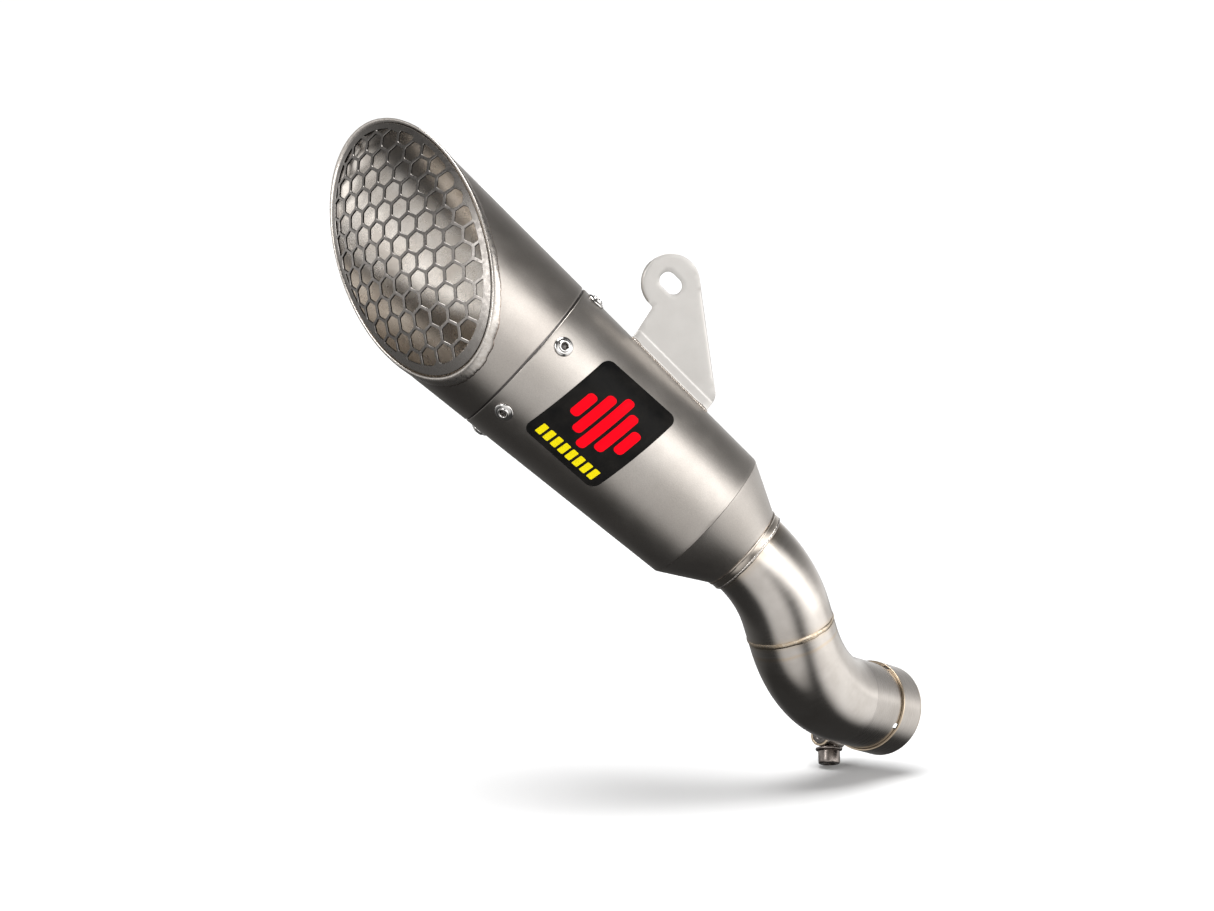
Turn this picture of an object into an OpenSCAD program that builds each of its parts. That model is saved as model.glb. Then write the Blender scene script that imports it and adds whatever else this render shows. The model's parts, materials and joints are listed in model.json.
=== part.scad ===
// Slip-on motorcycle exhaust muffler: tapered titanium can with a slash-cut
// meshed outlet, an S-bent link pipe and a slotted inlet socket with its clamp.
// Row frame: origin at the centre of the inlet mouth, +Z up, the can's axis in
// a plane parallel to XZ, rising towards -X.

/* [Can] */
// Angle of the can's axis above the horizontal
can_tilt = 42; // [30:0.5:55]
// Outside radius of the can where the inlet cone starts
can_r = 42; // [38:0.5:46]
// Half angle of the can's taper
can_taper = 2.97; // [2:0.01:4]
// Length of the outer sleeve along the axis
sleeve_len = 136; // [125:1:150]
// Gap between the sleeve's edge and the outlet cap
seam_gap = 0.8; // [0.4:0.1:1.5]
// Wall thickness of the sleeve, the cap and the cone
wall = 1.2; // [0.8:0.1:1.6]

/* [Outlet] */
// Distance from the inlet end of the sleeve to the slash cut, on the axis
cut_z = 219.4; // [210:0.1:230]
// Angle between the slash cut's normal and the axis
cut_tilt = 50.7; // [40:0.1:55]
// Direction round the axis in which the slash cut faces
cut_turn = -117.7; // [-135:0.1:-90]
// Distance between the centres of the mesh's hexagons
mesh_pitch = 12.4; // [10:0.1:14]
// Width of the ribs between the hexagons
mesh_rib = 1.8; // [1.2:0.1:3]
// Height of the mesh's dome over the slash cut
mesh_rise = 11; // [8:0.5:16]
// Depth of the mesh's edge under the slash cut
mesh_sink = 1; // [0:0.1:2]
// Width of the mesh's solid border
mesh_border = 3.8; // [3:0.5:8]

/* [Rivets] */
// Number of rivets round the sleeve
rivet_count = 6; // [4:1:8]
// Direction of the first rivet round the axis
rivet_turn = -8; // [-30:1:30]
// Distance from the sleeve's outlet edge to the rivets
rivet_inset = 9.6; // [8:0.1:12]
// Radius of a rivet's head
rivet_head_r = 5.5; // [4.5:0.1:6]

/* [Link pipe] */
// Outside diameter of the link pipe
pipe_d = 50.8; // [45:0.1:52]
// Wall thickness of the link pipe
pipe_wall = 1.2; // [1:0.1:1.5]
// Length of the inlet cone, from the sleeve to its collar
cone_len = 28; // [24:0.5:34]
// Length of the collar at the cone's small end
collar_len = 4.5; // [3:0.5:8]
// Direction of the first bend round the can's axis
bend1_turn = -159.6; // [-180:0.1:-140]
// Centreline radius of the first bend, one and a half diameters
bend1_r = 76.2; // [70:0.1:85]
// Angle of the first bend
bend1_angle = 31.8; // [25:0.1:38]
// Length of the straight between the bends
mid_len = 17; // [10:0.5:25]
// Distance from the weld between the pipes to the second bend
mid_weld = 7.4; // [4:0.1:9]
// Direction of the second bend round the pipe
bend2_turn = 115.5; // [105:0.1:125]
// Centreline radius of the second bend
bend2_r = 66; // [60:0.1:80]
// Angle of the second bend
bend2_angle = 53; // [45:0.1:60]
// Length of the straight inlet socket
socket_len = 46; // [44:0.5:60]
// Width of the socket's slots
slot_w = 3; // [2:0.1:4]

/* [Clamp] */
// Distance from the second bend to the clamp's edge
clamp_start = 25.9; // [24:0.1:27]
// Width of the clamp's band
clamp_w = 18.7; // [16:0.1:19]
// Thickness of the clamp's band
clamp_t = 1.4; // [1:0.1:1.5]
// Direction of the clamp's gap round the inlet
clamp_turn = -97.8; // [-180:0.1:180]
// Distance from the gap's middle to each barrel
barrel_gap = 13.6; // [12:0.1:16]
// Radius of the barrels
barrel_r = 5.2; // [5:0.1:6]
// Thread diameter of the clamp's bolt
bolt_d = 8; // [8:1:8]
// Length of the bolt under its head
bolt_len = 42; // [40:1:45]

/* [Bracket] */
// Position of the bracket's middle along the sleeve
bracket_z = 68.5; // [60:0.5:75]
// Length of the bracket's welded foot
bracket_len = 58.4; // [52:0.2:62]
// Thickness of the bracket's sheet
bracket_t = 2; // [1.5:0.1:3]
// Distance of the eye along the sleeve from the bracket's middle
eye_s = 35.1; // [30:0.1:38]
// Height of the eye over the sleeve
eye_h = 36.5; // [32:0.1:42]
// Outside radius of the eye
eye_r = 16.5; // [14:0.1:18]
// Width of the eye's slot
eye_slot_w = 9.5; // [8.5:0.1:10.5]
// Length of the eye's slot, end to end
eye_slot_len = 14; // [11:0.1:16]

/* [Badge] */
// Width of the badge round the sleeve
badge_w = 60; // [40:1:64]
// Length of the badge along the sleeve
badge_len = 52; // [36:1:56]
// Position of the badge's middle along the sleeve
badge_z = 82.6; // [75:0.1:90]
// Thickness of the badge
badge_t = 0.35; // [0.2:0.05:0.6]

/* [Hidden] */
$fn = 96;
eps = 0.01;
fit_gap = 0.05;
big = 400;
taper = tan(can_taper);
cap_z = sleeve_len + seam_gap;
spigot_len = 18;
cap_ring = 2;
rivet_z = sleeve_len - rivet_inset;
rivet_hole_r = 3.15;
rivet_shank_r = 3.1;
rivet_bore_r = 2;
rivet_end = -7;
bulge_low = -6;
bulge_top = -3.6;
bulge = 0.6;
neck_top = -3.2;
head_base = 0.15;
head_edge = 0.6;
head_top = 1.3;
collar_top = 1.7;
nipple_top = 2.3;
mandrel_r = 1.95;
ball_r = 2.8;
ball_low = -9.5;
pipe_r = pipe_d / 2;
bore_r = pipe_r - pipe_wall;
collar_r = pipe_r + wall;
link_start = cone_len + collar_len;
spigot_in = 8;
core_z = 4;
core_start = spigot_in - link_start;
core_end = 128;
core_rows = 16;
core_step = 6;
core_twist = 50;
core_hole_r = 2;
plate_z = 112;
plate_lip = 8;
inner_gap = 0.3;
weld_h = 0.5;
lip_back = 2.2;
under_cut = 90;
over_cut = 110;
mesh_skirt = 4;
cell_under = 5;
cell_deep = 40;
lip_proud = 0.45;
bolt_r = bolt_d / 2;
head_r = 6.5;
head_h = 8;
hex_r = 6 / sqrt(3);
hex_depth = 4;
washer_r = 8;
washer_t = 1.6;
loop_r = barrel_r + clamp_t;
band_r = pipe_r + fit_gap;
band_mid = band_r + clamp_t / 2;
loop_mid = barrel_r + clamp_t / 2;
barrel_nest = 0.6;
barrel_x = band_r + 2 * clamp_t + barrel_r - barrel_nest;
loop_d = norm([barrel_x, barrel_gap]);
loop_turn = atan2(barrel_gap, barrel_x);
band_leave = acos((band_mid + loop_mid) / loop_d);
strap_lap = 0.4;
loop_wrap = 290;
strap_len = sqrt(loop_d * loop_d - pow(band_mid + loop_mid, 2));
seat_y = barrel_gap + loop_r;
strap_hole = 0.8;
barrel_hole = 0.3;
foot_h = 5;
foot_out = 5;
foot_low = -1;
foot_base = 2.6;
fold_over = 0.8;
fold_in = 0.4;
fold_out = 0.2;
foot_flare = 0.4;
neck_back = 2.3;
edge_corner = 9;
edge_run = [36.6, 27.5];
edge_lip_at = 6;
edge_lip_len = 38;
eye_lip_turn = -84;
eye_lip_sweep = 87;
foot_trim = 0.97;
weld_crown = [0.75, 0.1];
weld_toe = [0.45, 0.38];
lip_h = 3.5;
sleeve_r = can_r + taper * bracket_z;
badge_corner = 5;
badge_deep = 60;
mark_t = 0.15;
bar_start = -20;
bar_step = 8;
bar_w = 6;
bar_off = 2;
bar_corner = 2.4;

// Colours
titanium = [0.62, 0.60, 0.57];
cap_grey = [0.56, 0.54, 0.51];
polished = [0.78, 0.77, 0.75];
dark_steel = [0.30, 0.28, 0.27];
bracket_grey = [0.82, 0.80, 0.78];
straw = [0.72, 0.63, 0.50];
badge_black = [0.03, 0.03, 0.03];
badge_red = [0.85, 0.05, 0.08];
wool = [0.85, 0.80, 0.62];

// ---- placing ----

function unit(v) = v / norm(v);
function shift(v) = [[1, 0, 0, v[0]], [0, 1, 0, v[1]], [0, 0, 1, v[2]], [0, 0, 0, 1]];
function turn_x(a) = [[1, 0, 0, 0], [0, cos(a), -sin(a), 0], [0, sin(a), cos(a), 0], [0, 0, 0, 1]];
function turn_y(a) = [[cos(a), 0, sin(a), 0], [0, 1, 0, 0], [-sin(a), 0, cos(a), 0], [0, 0, 0, 1]];
function turn_z(a) = [[cos(a), -sin(a), 0, 0], [sin(a), cos(a), 0, 0], [0, 0, 1, 0], [0, 0, 0, 1]];
function bend(r, a) = shift([r, 0, 0]) * turn_y(a) * shift([-r, 0, 0]);

// The can's frame: origin on its axis where the sleeve meets the inlet cone,
// z along the axis towards the outlet, x up, y away from the badge's side.
can_turn = turn_y(can_tilt - 90);
// The route of the link pipe in the can's frame, z in the direction of travel.
at_bend1 = shift([0, 0, -link_start]) * turn_x(180) * turn_z(bend1_turn);
at_mid = at_bend1 * bend(bend1_r, bend1_angle);
at_bend2 = at_mid * shift([0, 0, mid_len]) * turn_z(bend2_turn);
at_socket = at_bend2 * bend(bend2_r, bend2_angle);
at_mouth = at_socket * shift([0, 0, socket_len]);
mouth = can_turn * at_mouth * [0, 0, 0, 1];
can_place = shift([-mouth[0], -mouth[1], -mouth[2]]) * can_turn;

module in_can() { multmatrix(can_place) children(); }
module on_route(m) { multmatrix(can_place * m) children(); }
module on_cut(back = 0) {
    translate([0, 0, cut_z]) rotate([0, 0, cut_turn]) rotate([0, cut_tilt, 0])
        translate([0, 0, -back]) children();
}
// A child drawn on the sleeve at height z: its z axis points straight out.
module on_skin(turn, z) {
    rotate([0, 0, turn]) translate([can_r + taper * z, 0, z])
        rotate([0, 90 + can_taper, 0]) children();
}
// The bracket's frame: x along the sleeve, y out of it, z away from the badge.
module on_bracket() {
    in_can() translate([sleeve_r, 0, bracket_z]) rotate([0, can_taper, 0])
        multmatrix([[0, 1, 0, 0], [0, 0, 1, 0], [1, 0, 0, 0], [0, 0, 0, 1]]) children();
}
module at_clamp() {
    on_route(at_socket * shift([0, 0, clamp_start + clamp_w / 2]) * turn_z(clamp_turn))
        children();
}

// ---- shared shapes ----

// A solid of the can's taper from z0 to z1, grown outwards by d.
module taper_solid(z0, z1, d = 0) {
    translate([0, 0, z0]) cylinder(h = z1 - z0, r1 = can_r + taper * z0 + d,
        r2 = can_r + taper * z1 + d);
}
// A shell of the can's taper between the offsets outer and inner.
module taper_shell(z0, z1, outer, inner) {
    difference() {
        taper_solid(z0, z1, outer);
        taper_solid(z0 - 1, z1 + 1, inner);
    }
}
// Everything outside the slash cut, moved back into the can by d.
module beyond_cut(d = 0) {
    on_cut(d) translate([-big / 2, -big / 2, 0]) cube([big, big, big]);
}
module ring(r_out, r_in, h) {
    difference() {
        cylinder(h = h, r = r_out);
        translate([0, 0, -1]) cylinder(h = h + 2, r = r_in);
    }
}
// A bead of weld round a tube, its middle at z = 0.
module bead(r, w, h) {
    rotate_extrude() polygon([
        [r, -w / 2], [r + h * 0.8, -w / 4], [r + h, 0], [r + h * 0.8, w / 4], [r, w / 2]
    ]);
}
// A tube bent round y: it starts at the origin along z and bends towards x.
module elbow(r, a, r_out, r_in) {
    translate([r, 0, 0]) rotate([90, 0, 180]) rotate_extrude(angle = a)
        translate([r, 0]) difference() {
            circle(r = r_out);
            circle(r = r_in);
        }
}
// Corner p between a and b, rounded to radius r with n + 1 points.
function corner(a, p, b, r, n = 6) =
    let(u = unit(a - p), v = unit(b - p), half = acos(u * v) / 2,
        c = p + unit(u + v) * r / sin(half), w = p + u * r / tan(half) - c,
        s = cross(u, v) > 0 ? -1 : 1)
    [for (k = [0:n]) let(t = s * (180 - 2 * half) * k / n)
        c + [w[0] * cos(t) - w[1] * sin(t), w[0] * sin(t) + w[1] * cos(t)]];
// The outline pts with its corners rounded to the radii in rad.
function rounded(pts, rad) =
    let(n = len(pts))
    [for (i = [0:n - 1]) each rad[i] == 0 ? [pts[i]] :
        corner(pts[(i + n - 1) % n], pts[i], pts[(i + 1) % n], rad[i])];

// ---- can ----

module outer_sleeve() {
    color(titanium) in_can() difference() {
        taper_shell(0, sleeve_len, 0, -wall);
        for (k = [1:rivet_count])
            on_skin(rivet_turn - 360 / rivet_count * k, rivet_z)
                translate([0, 0, -4]) cylinder(h = 8, r = rivet_hole_r);
    }
}

module outlet_cap() {
    color(cap_grey) in_can() difference() {
        union() {
            taper_shell(cap_z, cut_z + over_cut, 0, -wall);
            taper_shell(cap_z - spigot_len, cap_z, -wall - fit_gap, -2 * wall);
            taper_shell(cap_z, cap_z + cap_ring, -wall / 2, -2 * wall);
        }
        beyond_cut(lip_back);
        for (k = [1:rivet_count])
            on_skin(rivet_turn - 360 / rivet_count * k, rivet_z)
                translate([0, 0, -6]) cylinder(h = 8, r = rivet_hole_r);
    }
}

// The bead round the slash cut that joins the mesh's border to the cap.
module mouth_weld() {
    color(polished) in_can() difference() {
        taper_shell(cut_z - under_cut, cut_z + over_cut, lip_proud, -wall);
        beyond_cut();
        difference() {
            taper_solid(0, cut_z + 2 * over_cut, 5 * wall);
            beyond_cut(lip_back);
        }
    }
}

// The slash cut is an ellipse: its reach down and up the cut from the axis,
// its half length and half width, and its middle.
cut_r = can_r + taper * cut_z;
reach_down = cut_r / (cos(cut_tilt) + taper * sin(cut_tilt));
reach_up = cut_r / (cos(cut_tilt) - taper * sin(cut_tilt));
half_l = (reach_down + reach_up) / 2;
half_w = half_l * sqrt(1 - pow(sin(cut_tilt) / cos(can_taper), 2));
cut_mid = (reach_down - reach_up) / 2;
// The dome is part of a barrel whose axis lies along the ellipse's length.
dome_r = (half_w * half_w + mesh_rise * mesh_rise) / (2 * mesh_rise);
dome_long_r = (half_l * half_l + mesh_rise * mesh_rise) / (2 * mesh_rise);
module dome(d) {
    translate([cut_mid, 0, mesh_rise - dome_r]) rotate([0, 90, 0]) rotate_extrude()
        intersection() {
            translate([dome_r - dome_long_r, 0]) circle(r = dome_long_r + d);
            translate([0, -big]) square([big, 2 * big]);
        }
}
lattice_at = [-3.3, 1.3];
module cells(reach) {
    rows = ceil(reach / mesh_pitch);
    for (i = [-2 * rows:2 * rows], j = [-rows:rows])
        let(at = lattice_at + mesh_pitch * [i + j / 2, j * sqrt(3) / 2])
            if (norm([(at[0] - cut_mid) / half_l, at[1] / half_w]) < 1)
                translate(at) rotate([0, 0, 30])
                    circle(r = (mesh_pitch - mesh_rib) / sqrt(3), $fn = 6);
}
module mesh_grille() {
    color(dark_steel) in_can() difference() {
        intersection() {
            on_cut(mesh_sink) difference() {
                dome(0);
                dome(-wall);
            }
            taper_solid(cut_z - under_cut, cut_z + over_cut, -wall - fit_gap);
            beyond_cut(mesh_skirt);
        }
        intersection() {
            on_cut(cell_under) linear_extrude(cell_deep) cells(half_l);
            taper_solid(cut_z - under_cut, cut_z + over_cut, -wall - mesh_border);
        }
    }
}

// ---- rivets ----

module rivet(k) {
    color(polished) in_can() on_skin(rivet_turn - 360 / rivet_count * k, rivet_z)
        rotate_extrude() polygon([
            [rivet_bore_r, rivet_end], [rivet_shank_r + bulge, bulge_low],
            [rivet_shank_r + bulge, bulge_top], [rivet_shank_r, neck_top],
            [rivet_shank_r, head_base], [rivet_head_r, head_base], [rivet_head_r, head_edge],
            [rivet_head_r - 0.8, head_top], [rivet_shank_r + 0.2, collar_top],
            [rivet_shank_r, nipple_top], [rivet_bore_r + 0.3, nipple_top],
            [rivet_bore_r, nipple_top - 0.3]
        ]);
}
module rivet_mandrels() {
    color(dark_steel) in_can()
        for (k = [1:rivet_count])
            on_skin(rivet_turn - 360 / rivet_count * k, rivet_z) rotate_extrude()
                polygon([
                    [0, ball_low], [ball_r - 0.4, ball_low + 0.5], [ball_r, ball_low + 1.5],
                    [mandrel_r, rivet_end], [mandrel_r, -0.6], [1.2, 0], [0, 0.2]
                ]);
}

// ---- inlet end and link pipe ----

module inlet_cone() {
    color(titanium) in_can() translate([0, 0, -cone_len]) difference() {
        cylinder(h = cone_len, r1 = collar_r, r2 = can_r);
        translate([0, 0, -eps]) cylinder(h = cone_len + 2 * eps, r1 = collar_r - wall,
            r2 = can_r - wall);
    }
}
module cone_collar() {
    color(titanium) in_can() translate([0, 0, -link_start])
        ring(collar_r, pipe_r, collar_len);
}
module collar_weld() {
    color(straw) on_route(at_bend1) difference() {
        bead(pipe_r, 2.4, wall + weld_h);
        translate([0, 0, -10]) cylinder(h = 10, r = big);
    }
}
// A straight end of a bent pipe, thinner by fit_gap each way, so that it can
// run on for tail inside the bend's wall.
tail = 1;
module straight(z0, z1) {
    translate([0, 0, z0]) ring(pipe_r - fit_gap, bore_r + fit_gap, z1 - z0);
}
module link_pipe_upper() {
    color(titanium) {
        on_route(at_bend1) straight(-spigot_in, tail);
        on_route(at_bend1) elbow(bend1_r, bend1_angle, pipe_r, bore_r);
        on_route(at_mid) straight(-tail, mid_len - mid_weld);
    }
}
module link_pipe_weld() {
    color(straw) on_route(at_mid) translate([0, 0, mid_len - mid_weld])
        bead(pipe_r, 3, weld_h);
}
module link_pipe_lower() {
    color(titanium) {
        on_route(at_bend2) straight(-mid_weld, tail);
        on_route(at_bend2) elbow(bend2_r, bend2_angle, pipe_r, bore_r);
    }
}
// Four slots let the clamp close the socket round the header pipe.
slot_turn = 28;
module inlet_socket() {
    color(titanium) on_route(at_socket) difference() {
        ring(pipe_r, bore_r, socket_len);
        for (a = [0:90:270]) rotate([0, 0, slot_turn + a]) {
            translate([bore_r - 2, -slot_w / 2, clamp_start - 1])
                cube([8, slot_w, socket_len]);
            translate([bore_r - 2, 0, clamp_start - 1]) rotate([0, 90, 0])
                cylinder(h = 8, r = slot_w * 0.65);
        }
    }
}

// ---- clamp, drawn with the gap towards x and the bolt's head towards -y ----

module strap_end(side) {
    mirror([0, side < 0 ? 1 : 0, 0]) {
        rotate([0, 0, loop_turn + band_leave])
            translate([band_r, -strap_len - strap_lap, 0])
                cube([clamp_t, strap_len + 2 * strap_lap, clamp_w]);
        translate([barrel_x, barrel_gap, 0]) rotate([0, 0, loop_turn + band_leave + 180])
            rotate_extrude(angle = loop_wrap) translate([barrel_r + fit_gap, 0])
                square([clamp_t - fit_gap, clamp_w]);
    }
}
module clamp_band() {
    open = loop_turn + band_leave;
    color(titanium) at_clamp() difference() {
        translate([0, 0, -clamp_w / 2]) {
            rotate([0, 0, open]) rotate_extrude(angle = 360 - 2 * open)
                translate([band_r, 0]) square([clamp_t, clamp_w]);
            strap_end(1);
            strap_end(-1);
        }
        translate([barrel_x, 0, 0]) rotate([90, 0, 0])
            cylinder(h = 4 * seat_y, r = bolt_r + strap_hole, center = true);
    }
}
module barrel(side, hole_r) {
    at_clamp() difference() {
        translate([barrel_x, side * barrel_gap, -clamp_w / 2])
            cylinder(h = clamp_w, r = barrel_r);
        translate([barrel_x, 0, 0]) rotate([90, 0, 0])
            cylinder(h = 4 * seat_y, r = hole_r, center = true);
    }
}
module clamp_plain_barrel() { color(dark_steel) barrel(-1, bolt_r + barrel_hole); }
module clamp_nut_barrel() { color(dark_steel) barrel(1, bolt_r + fit_gap); }
module along_bolt(y) {
    at_clamp() translate([barrel_x, -y, 0]) rotate([90, 0, 0]) children();
}
module clamp_washer() {
    color(dark_steel) along_bolt(seat_y) ring(washer_r, bolt_r + fit_gap, washer_t);
}
module clamp_bolt() {
    color(dark_steel) along_bolt(seat_y + washer_t) difference() {
        union() {
            cylinder(h = head_h, r = head_r);
            translate([0, 0, -bolt_len]) cylinder(h = bolt_len + eps, r = bolt_r);
        }
        translate([0, 0, head_h - hex_depth]) cylinder(h = hex_depth + 1, r = hex_r, $fn = 6);
    }
}

// ---- bracket ----

edge_dir = unit(edge_run);
edge_top = [eye_s, eye_h] + eye_r * [-edge_dir[1], edge_dir[0]];
edge_low = edge_top - edge_dir * (edge_top[0] + bracket_len / 2) / edge_dir[0];
bracket_outline = rounded(
    [[-bracket_len / 2, foot_h], edge_low, edge_top, [eye_s, eye_h],
        [eye_s - neck_back, eye_h - eye_r], [bracket_len / 2 + foot_flare, foot_h]],
    [0, edge_corner, 0, 0, 0, 0]
);
module eye_slot(grow = 0) {
    reach = (eye_slot_len - eye_slot_w) / 2;
    for (s = [-reach, reach])
        translate([eye_s + s, eye_h, -10]) cylinder(h = 20, r = eye_slot_w / 2 + grow);
    translate([eye_s - reach, eye_h - eye_slot_w / 2, -10])
        cube([2 * reach, eye_slot_w, 20]);
}
module mounting_bracket() {
    color(bracket_grey) difference() {
        union() {
            on_bracket() difference() {
                translate([0, 0, -bracket_t / 2]) {
                    linear_extrude(bracket_t) polygon(bracket_outline);
                    translate([eye_s, eye_h, 0]) cylinder(h = bracket_t, r = eye_r);
                    // stiffening lips behind the straight edge and the eye
                    translate([edge_top[0], edge_top[1], 0])
                        rotate([0, 0, atan2(edge_dir[1], edge_dir[0])])
                            translate([-edge_lip_at - edge_lip_len, -bracket_t, 0])
                                cube([edge_lip_len, bracket_t, bracket_t + lip_h]);
                    translate([eye_s, eye_h, 0]) rotate([0, 0, eye_lip_turn])
                        rotate_extrude(angle = eye_lip_sweep) translate([eye_r - bracket_t, 0])
                            square([bracket_t, bracket_t + lip_h]);
                }
                eye_slot();
            }
            // the foot leans out to the weld
            on_bracket() rotate([0, 90, 0])
                translate([0, 0, -bracket_len / 2]) linear_extrude(bracket_len)
                    polygon([
                        [bracket_t / 2, foot_h + fold_over],
                        [-bracket_t / 2, foot_h + fold_over],
                        [-bracket_t / 2, foot_h - fold_in], [foot_out - foot_base, foot_low],
                        [foot_out, foot_low], [bracket_t / 2, foot_h + fold_out]
                    ]);
        }
        in_can() taper_solid(-1, sleeve_len + 2);
    }
}
// The bead in the corner between the sleeve and the foot's outer side.
foot_lean = unit([foot_out - bracket_t / 2, foot_low - foot_h - fold_out]);
foot_edge = [foot_out, foot_low] - foot_lean * foot_trim;
weld_leg = 1.6;
module bracket_weld() {
    reach = foot_edge[0] + weld_leg;
    color(polished) on_bracket() rotate([0, 90, 0])
        translate([0, 0, -bracket_len / 2]) linear_extrude(bracket_len) polygon([
            foot_edge, foot_edge - foot_lean * weld_leg,
            foot_edge - foot_lean * weld_leg * 0.6 + weld_crown,
            [reach - weld_toe[0], weld_toe[1] - reach * reach / 2 / sleeve_r],
            [reach, fit_gap - reach * reach / 2 / sleeve_r]
        ]);
}

// ---- badge ----

badge_shear = 9;
module badge_prism(pts) {
    in_can() translate([0, 0, badge_z])
        multmatrix([[0, 1, 0, 0], [0, 0, 1, 0], [1, 0, 0, 0], [0, 0, 0, 1]])
            translate([0, 0, -can_r - badge_deep / 2]) linear_extrude(badge_deep)
                multmatrix([[1, -tan(badge_shear), 0, 0], [0, 1, 0, 0], [0, 0, 1, 0], [0, 0, 0, 1]])
                    polygon(pts);
}
function box_points(x0, y0, x1, y1) = [[x0, y0], [x1, y0], [x1, y1], [x0, y1]];
module badge() {
    color(badge_black) intersection() {
        in_can() taper_shell(20, sleeve_len - 1, badge_t, 0);
        badge_prism(rounded(
            box_points(-badge_len / 2, -badge_w / 2, badge_len / 2, badge_w / 2),
            badge_corner * [1, 1, 1, 1]
        ));
    }
}
// Five bars of different heights, as on a level meter.
bar_heights = [16, 28, 38, 28, 16];
module badge_marks() {
    color(badge_red) intersection() {
        in_can() taper_shell(20, sleeve_len - 1, badge_t + mark_t, badge_t);
        union()
            for (i = [0:len(bar_heights) - 1])
                let(x = bar_start + bar_step * i, h = bar_heights[i] / 2)
                    badge_prism(rounded(
                        box_points(x, bar_off - h, x + bar_w, bar_off + h),
                        bar_corner * [1, 1, 1, 1]
                    ));
    }
}

// ---- inside ----

module core_tube() {
    color(titanium) in_can() difference() {
        translate([0, 0, core_start]) ring(pipe_r, bore_r, core_end - core_start);
        for (i = [0:core_rows - 1])
            translate([0, 0, core_z + 8 + core_step * i]) rotate([0, 90, core_twist * i])
                cylinder(h = 3 * pipe_r, r = core_hole_r, center = true);
    }
}
module packing() {
    color(wool) in_can() difference() {
        taper_solid(core_z, plate_z - inner_gap, -wall - inner_gap);
        cylinder(h = 2 * big, r = pipe_r + inner_gap, center = true);
    }
}
module inlet_plate() {
    color(titanium) in_can() difference() {
        taper_solid(1, 1 + wall, -wall - fit_gap);
        cylinder(h = 20, r = pipe_r + fit_gap, center = true);
    }
}
module outlet_plate() {
    color(titanium) in_can() difference() {
        union() {
            taper_solid(plate_z, plate_z + wall, -wall - fit_gap);
            translate([0, 0, plate_z]) cylinder(h = plate_lip, r = pipe_r + fit_gap + wall);
        }
        translate([0, 0, plate_z - 10]) cylinder(h = 30, r = pipe_r + fit_gap);
    }
}

outer_sleeve();
outlet_cap();
mesh_grille();
mouth_weld();
for (k = [1:rivet_count])
    rivet(k);
rivet_mandrels();
inlet_cone();
cone_collar();
collar_weld();
link_pipe_upper();
link_pipe_weld();
link_pipe_lower();
inlet_socket();
clamp_band();
clamp_plain_barrel();
clamp_nut_barrel();
clamp_washer();
clamp_bolt();
mounting_bracket();
bracket_weld();
badge();
badge_marks();
core_tube();
packing();
inlet_plate();
outlet_plate();
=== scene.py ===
"""Motorcycle exhaust muffler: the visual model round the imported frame."""

import json
import math

import bmesh
import bpy
import numpy as np
from mathutils import Matrix, Vector, geometry, noise

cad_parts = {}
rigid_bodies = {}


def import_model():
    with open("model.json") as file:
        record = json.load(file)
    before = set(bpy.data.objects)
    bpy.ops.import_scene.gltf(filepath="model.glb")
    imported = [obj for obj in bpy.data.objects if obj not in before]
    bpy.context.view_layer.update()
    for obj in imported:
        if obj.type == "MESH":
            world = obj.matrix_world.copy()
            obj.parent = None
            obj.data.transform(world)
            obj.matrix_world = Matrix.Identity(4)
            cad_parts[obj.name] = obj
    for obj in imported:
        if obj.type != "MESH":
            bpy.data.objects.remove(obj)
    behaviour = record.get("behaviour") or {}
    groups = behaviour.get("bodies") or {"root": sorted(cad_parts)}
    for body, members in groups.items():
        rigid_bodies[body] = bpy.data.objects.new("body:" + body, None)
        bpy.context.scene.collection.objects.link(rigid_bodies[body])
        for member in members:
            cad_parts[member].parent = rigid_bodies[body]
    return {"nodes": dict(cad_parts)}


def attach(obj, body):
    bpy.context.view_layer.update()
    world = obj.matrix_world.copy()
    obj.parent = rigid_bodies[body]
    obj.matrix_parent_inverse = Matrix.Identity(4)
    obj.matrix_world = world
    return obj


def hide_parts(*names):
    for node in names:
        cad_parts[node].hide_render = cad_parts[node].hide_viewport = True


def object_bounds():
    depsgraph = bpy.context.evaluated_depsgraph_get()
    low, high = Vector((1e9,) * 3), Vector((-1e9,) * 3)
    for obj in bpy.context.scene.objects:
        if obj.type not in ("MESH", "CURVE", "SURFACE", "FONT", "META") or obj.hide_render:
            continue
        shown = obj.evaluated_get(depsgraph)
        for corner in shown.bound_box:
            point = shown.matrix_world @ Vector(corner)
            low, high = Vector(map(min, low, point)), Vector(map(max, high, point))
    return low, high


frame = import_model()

CAD_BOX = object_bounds()
MM = 0.001

# ---- design numbers in mm and degrees, as in the CAD source ----
CAN_TILT = 42
CAN_R = 42
TAPER = math.tan(math.radians(2.97))
SLEEVE_LEN = 136
SEAM = 0.8
CAP_Z = SLEEVE_LEN + SEAM
WALL = 1.2
SPIGOT_LEN = 17
LIP_DEPTH = 2.4
CUT_Z = 219.4
CUT_TILT = 50.7
CUT_TURN = -117.7
MESH_PITCH = 12.4
MESH_RIB = 1.8
MESH_RISE = 11
MESH_BORDER = 3.8
RIVETS = 6
RIVET_TURN = -8
RIVET_Z = 126.4
PIPE_R = 25.4
BORE_R = 24.2
CONE_LEN = 28
COLLAR_R = PIPE_R + WALL
LINK_START = 32.5
BEND1 = (76.2, 31.8)
BEND2 = (66.0, 53.0)
MID_LEN = 17
MID_WELD = 7.4
SOCKET_LEN = 46
CLAMP_START = 25.9
CLAMP_W = 18.7
CLAMP_T = 1.4
CLAMP_TURN = -97.8
BARREL_GAP = 13.6
BARREL_R = 5.2
BOLT_R = 4.0
BOLT_LEN = 42
BRACKET_Z = 68.5
BRACKET_LEN = 58.4
BRACKET_T = 2.0
EYE = (35.1, 36.5)
EYE_R = 16.5
SLOT_W = 9.5
SLOT_LEN = 14
BADGE_W = 60
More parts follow.
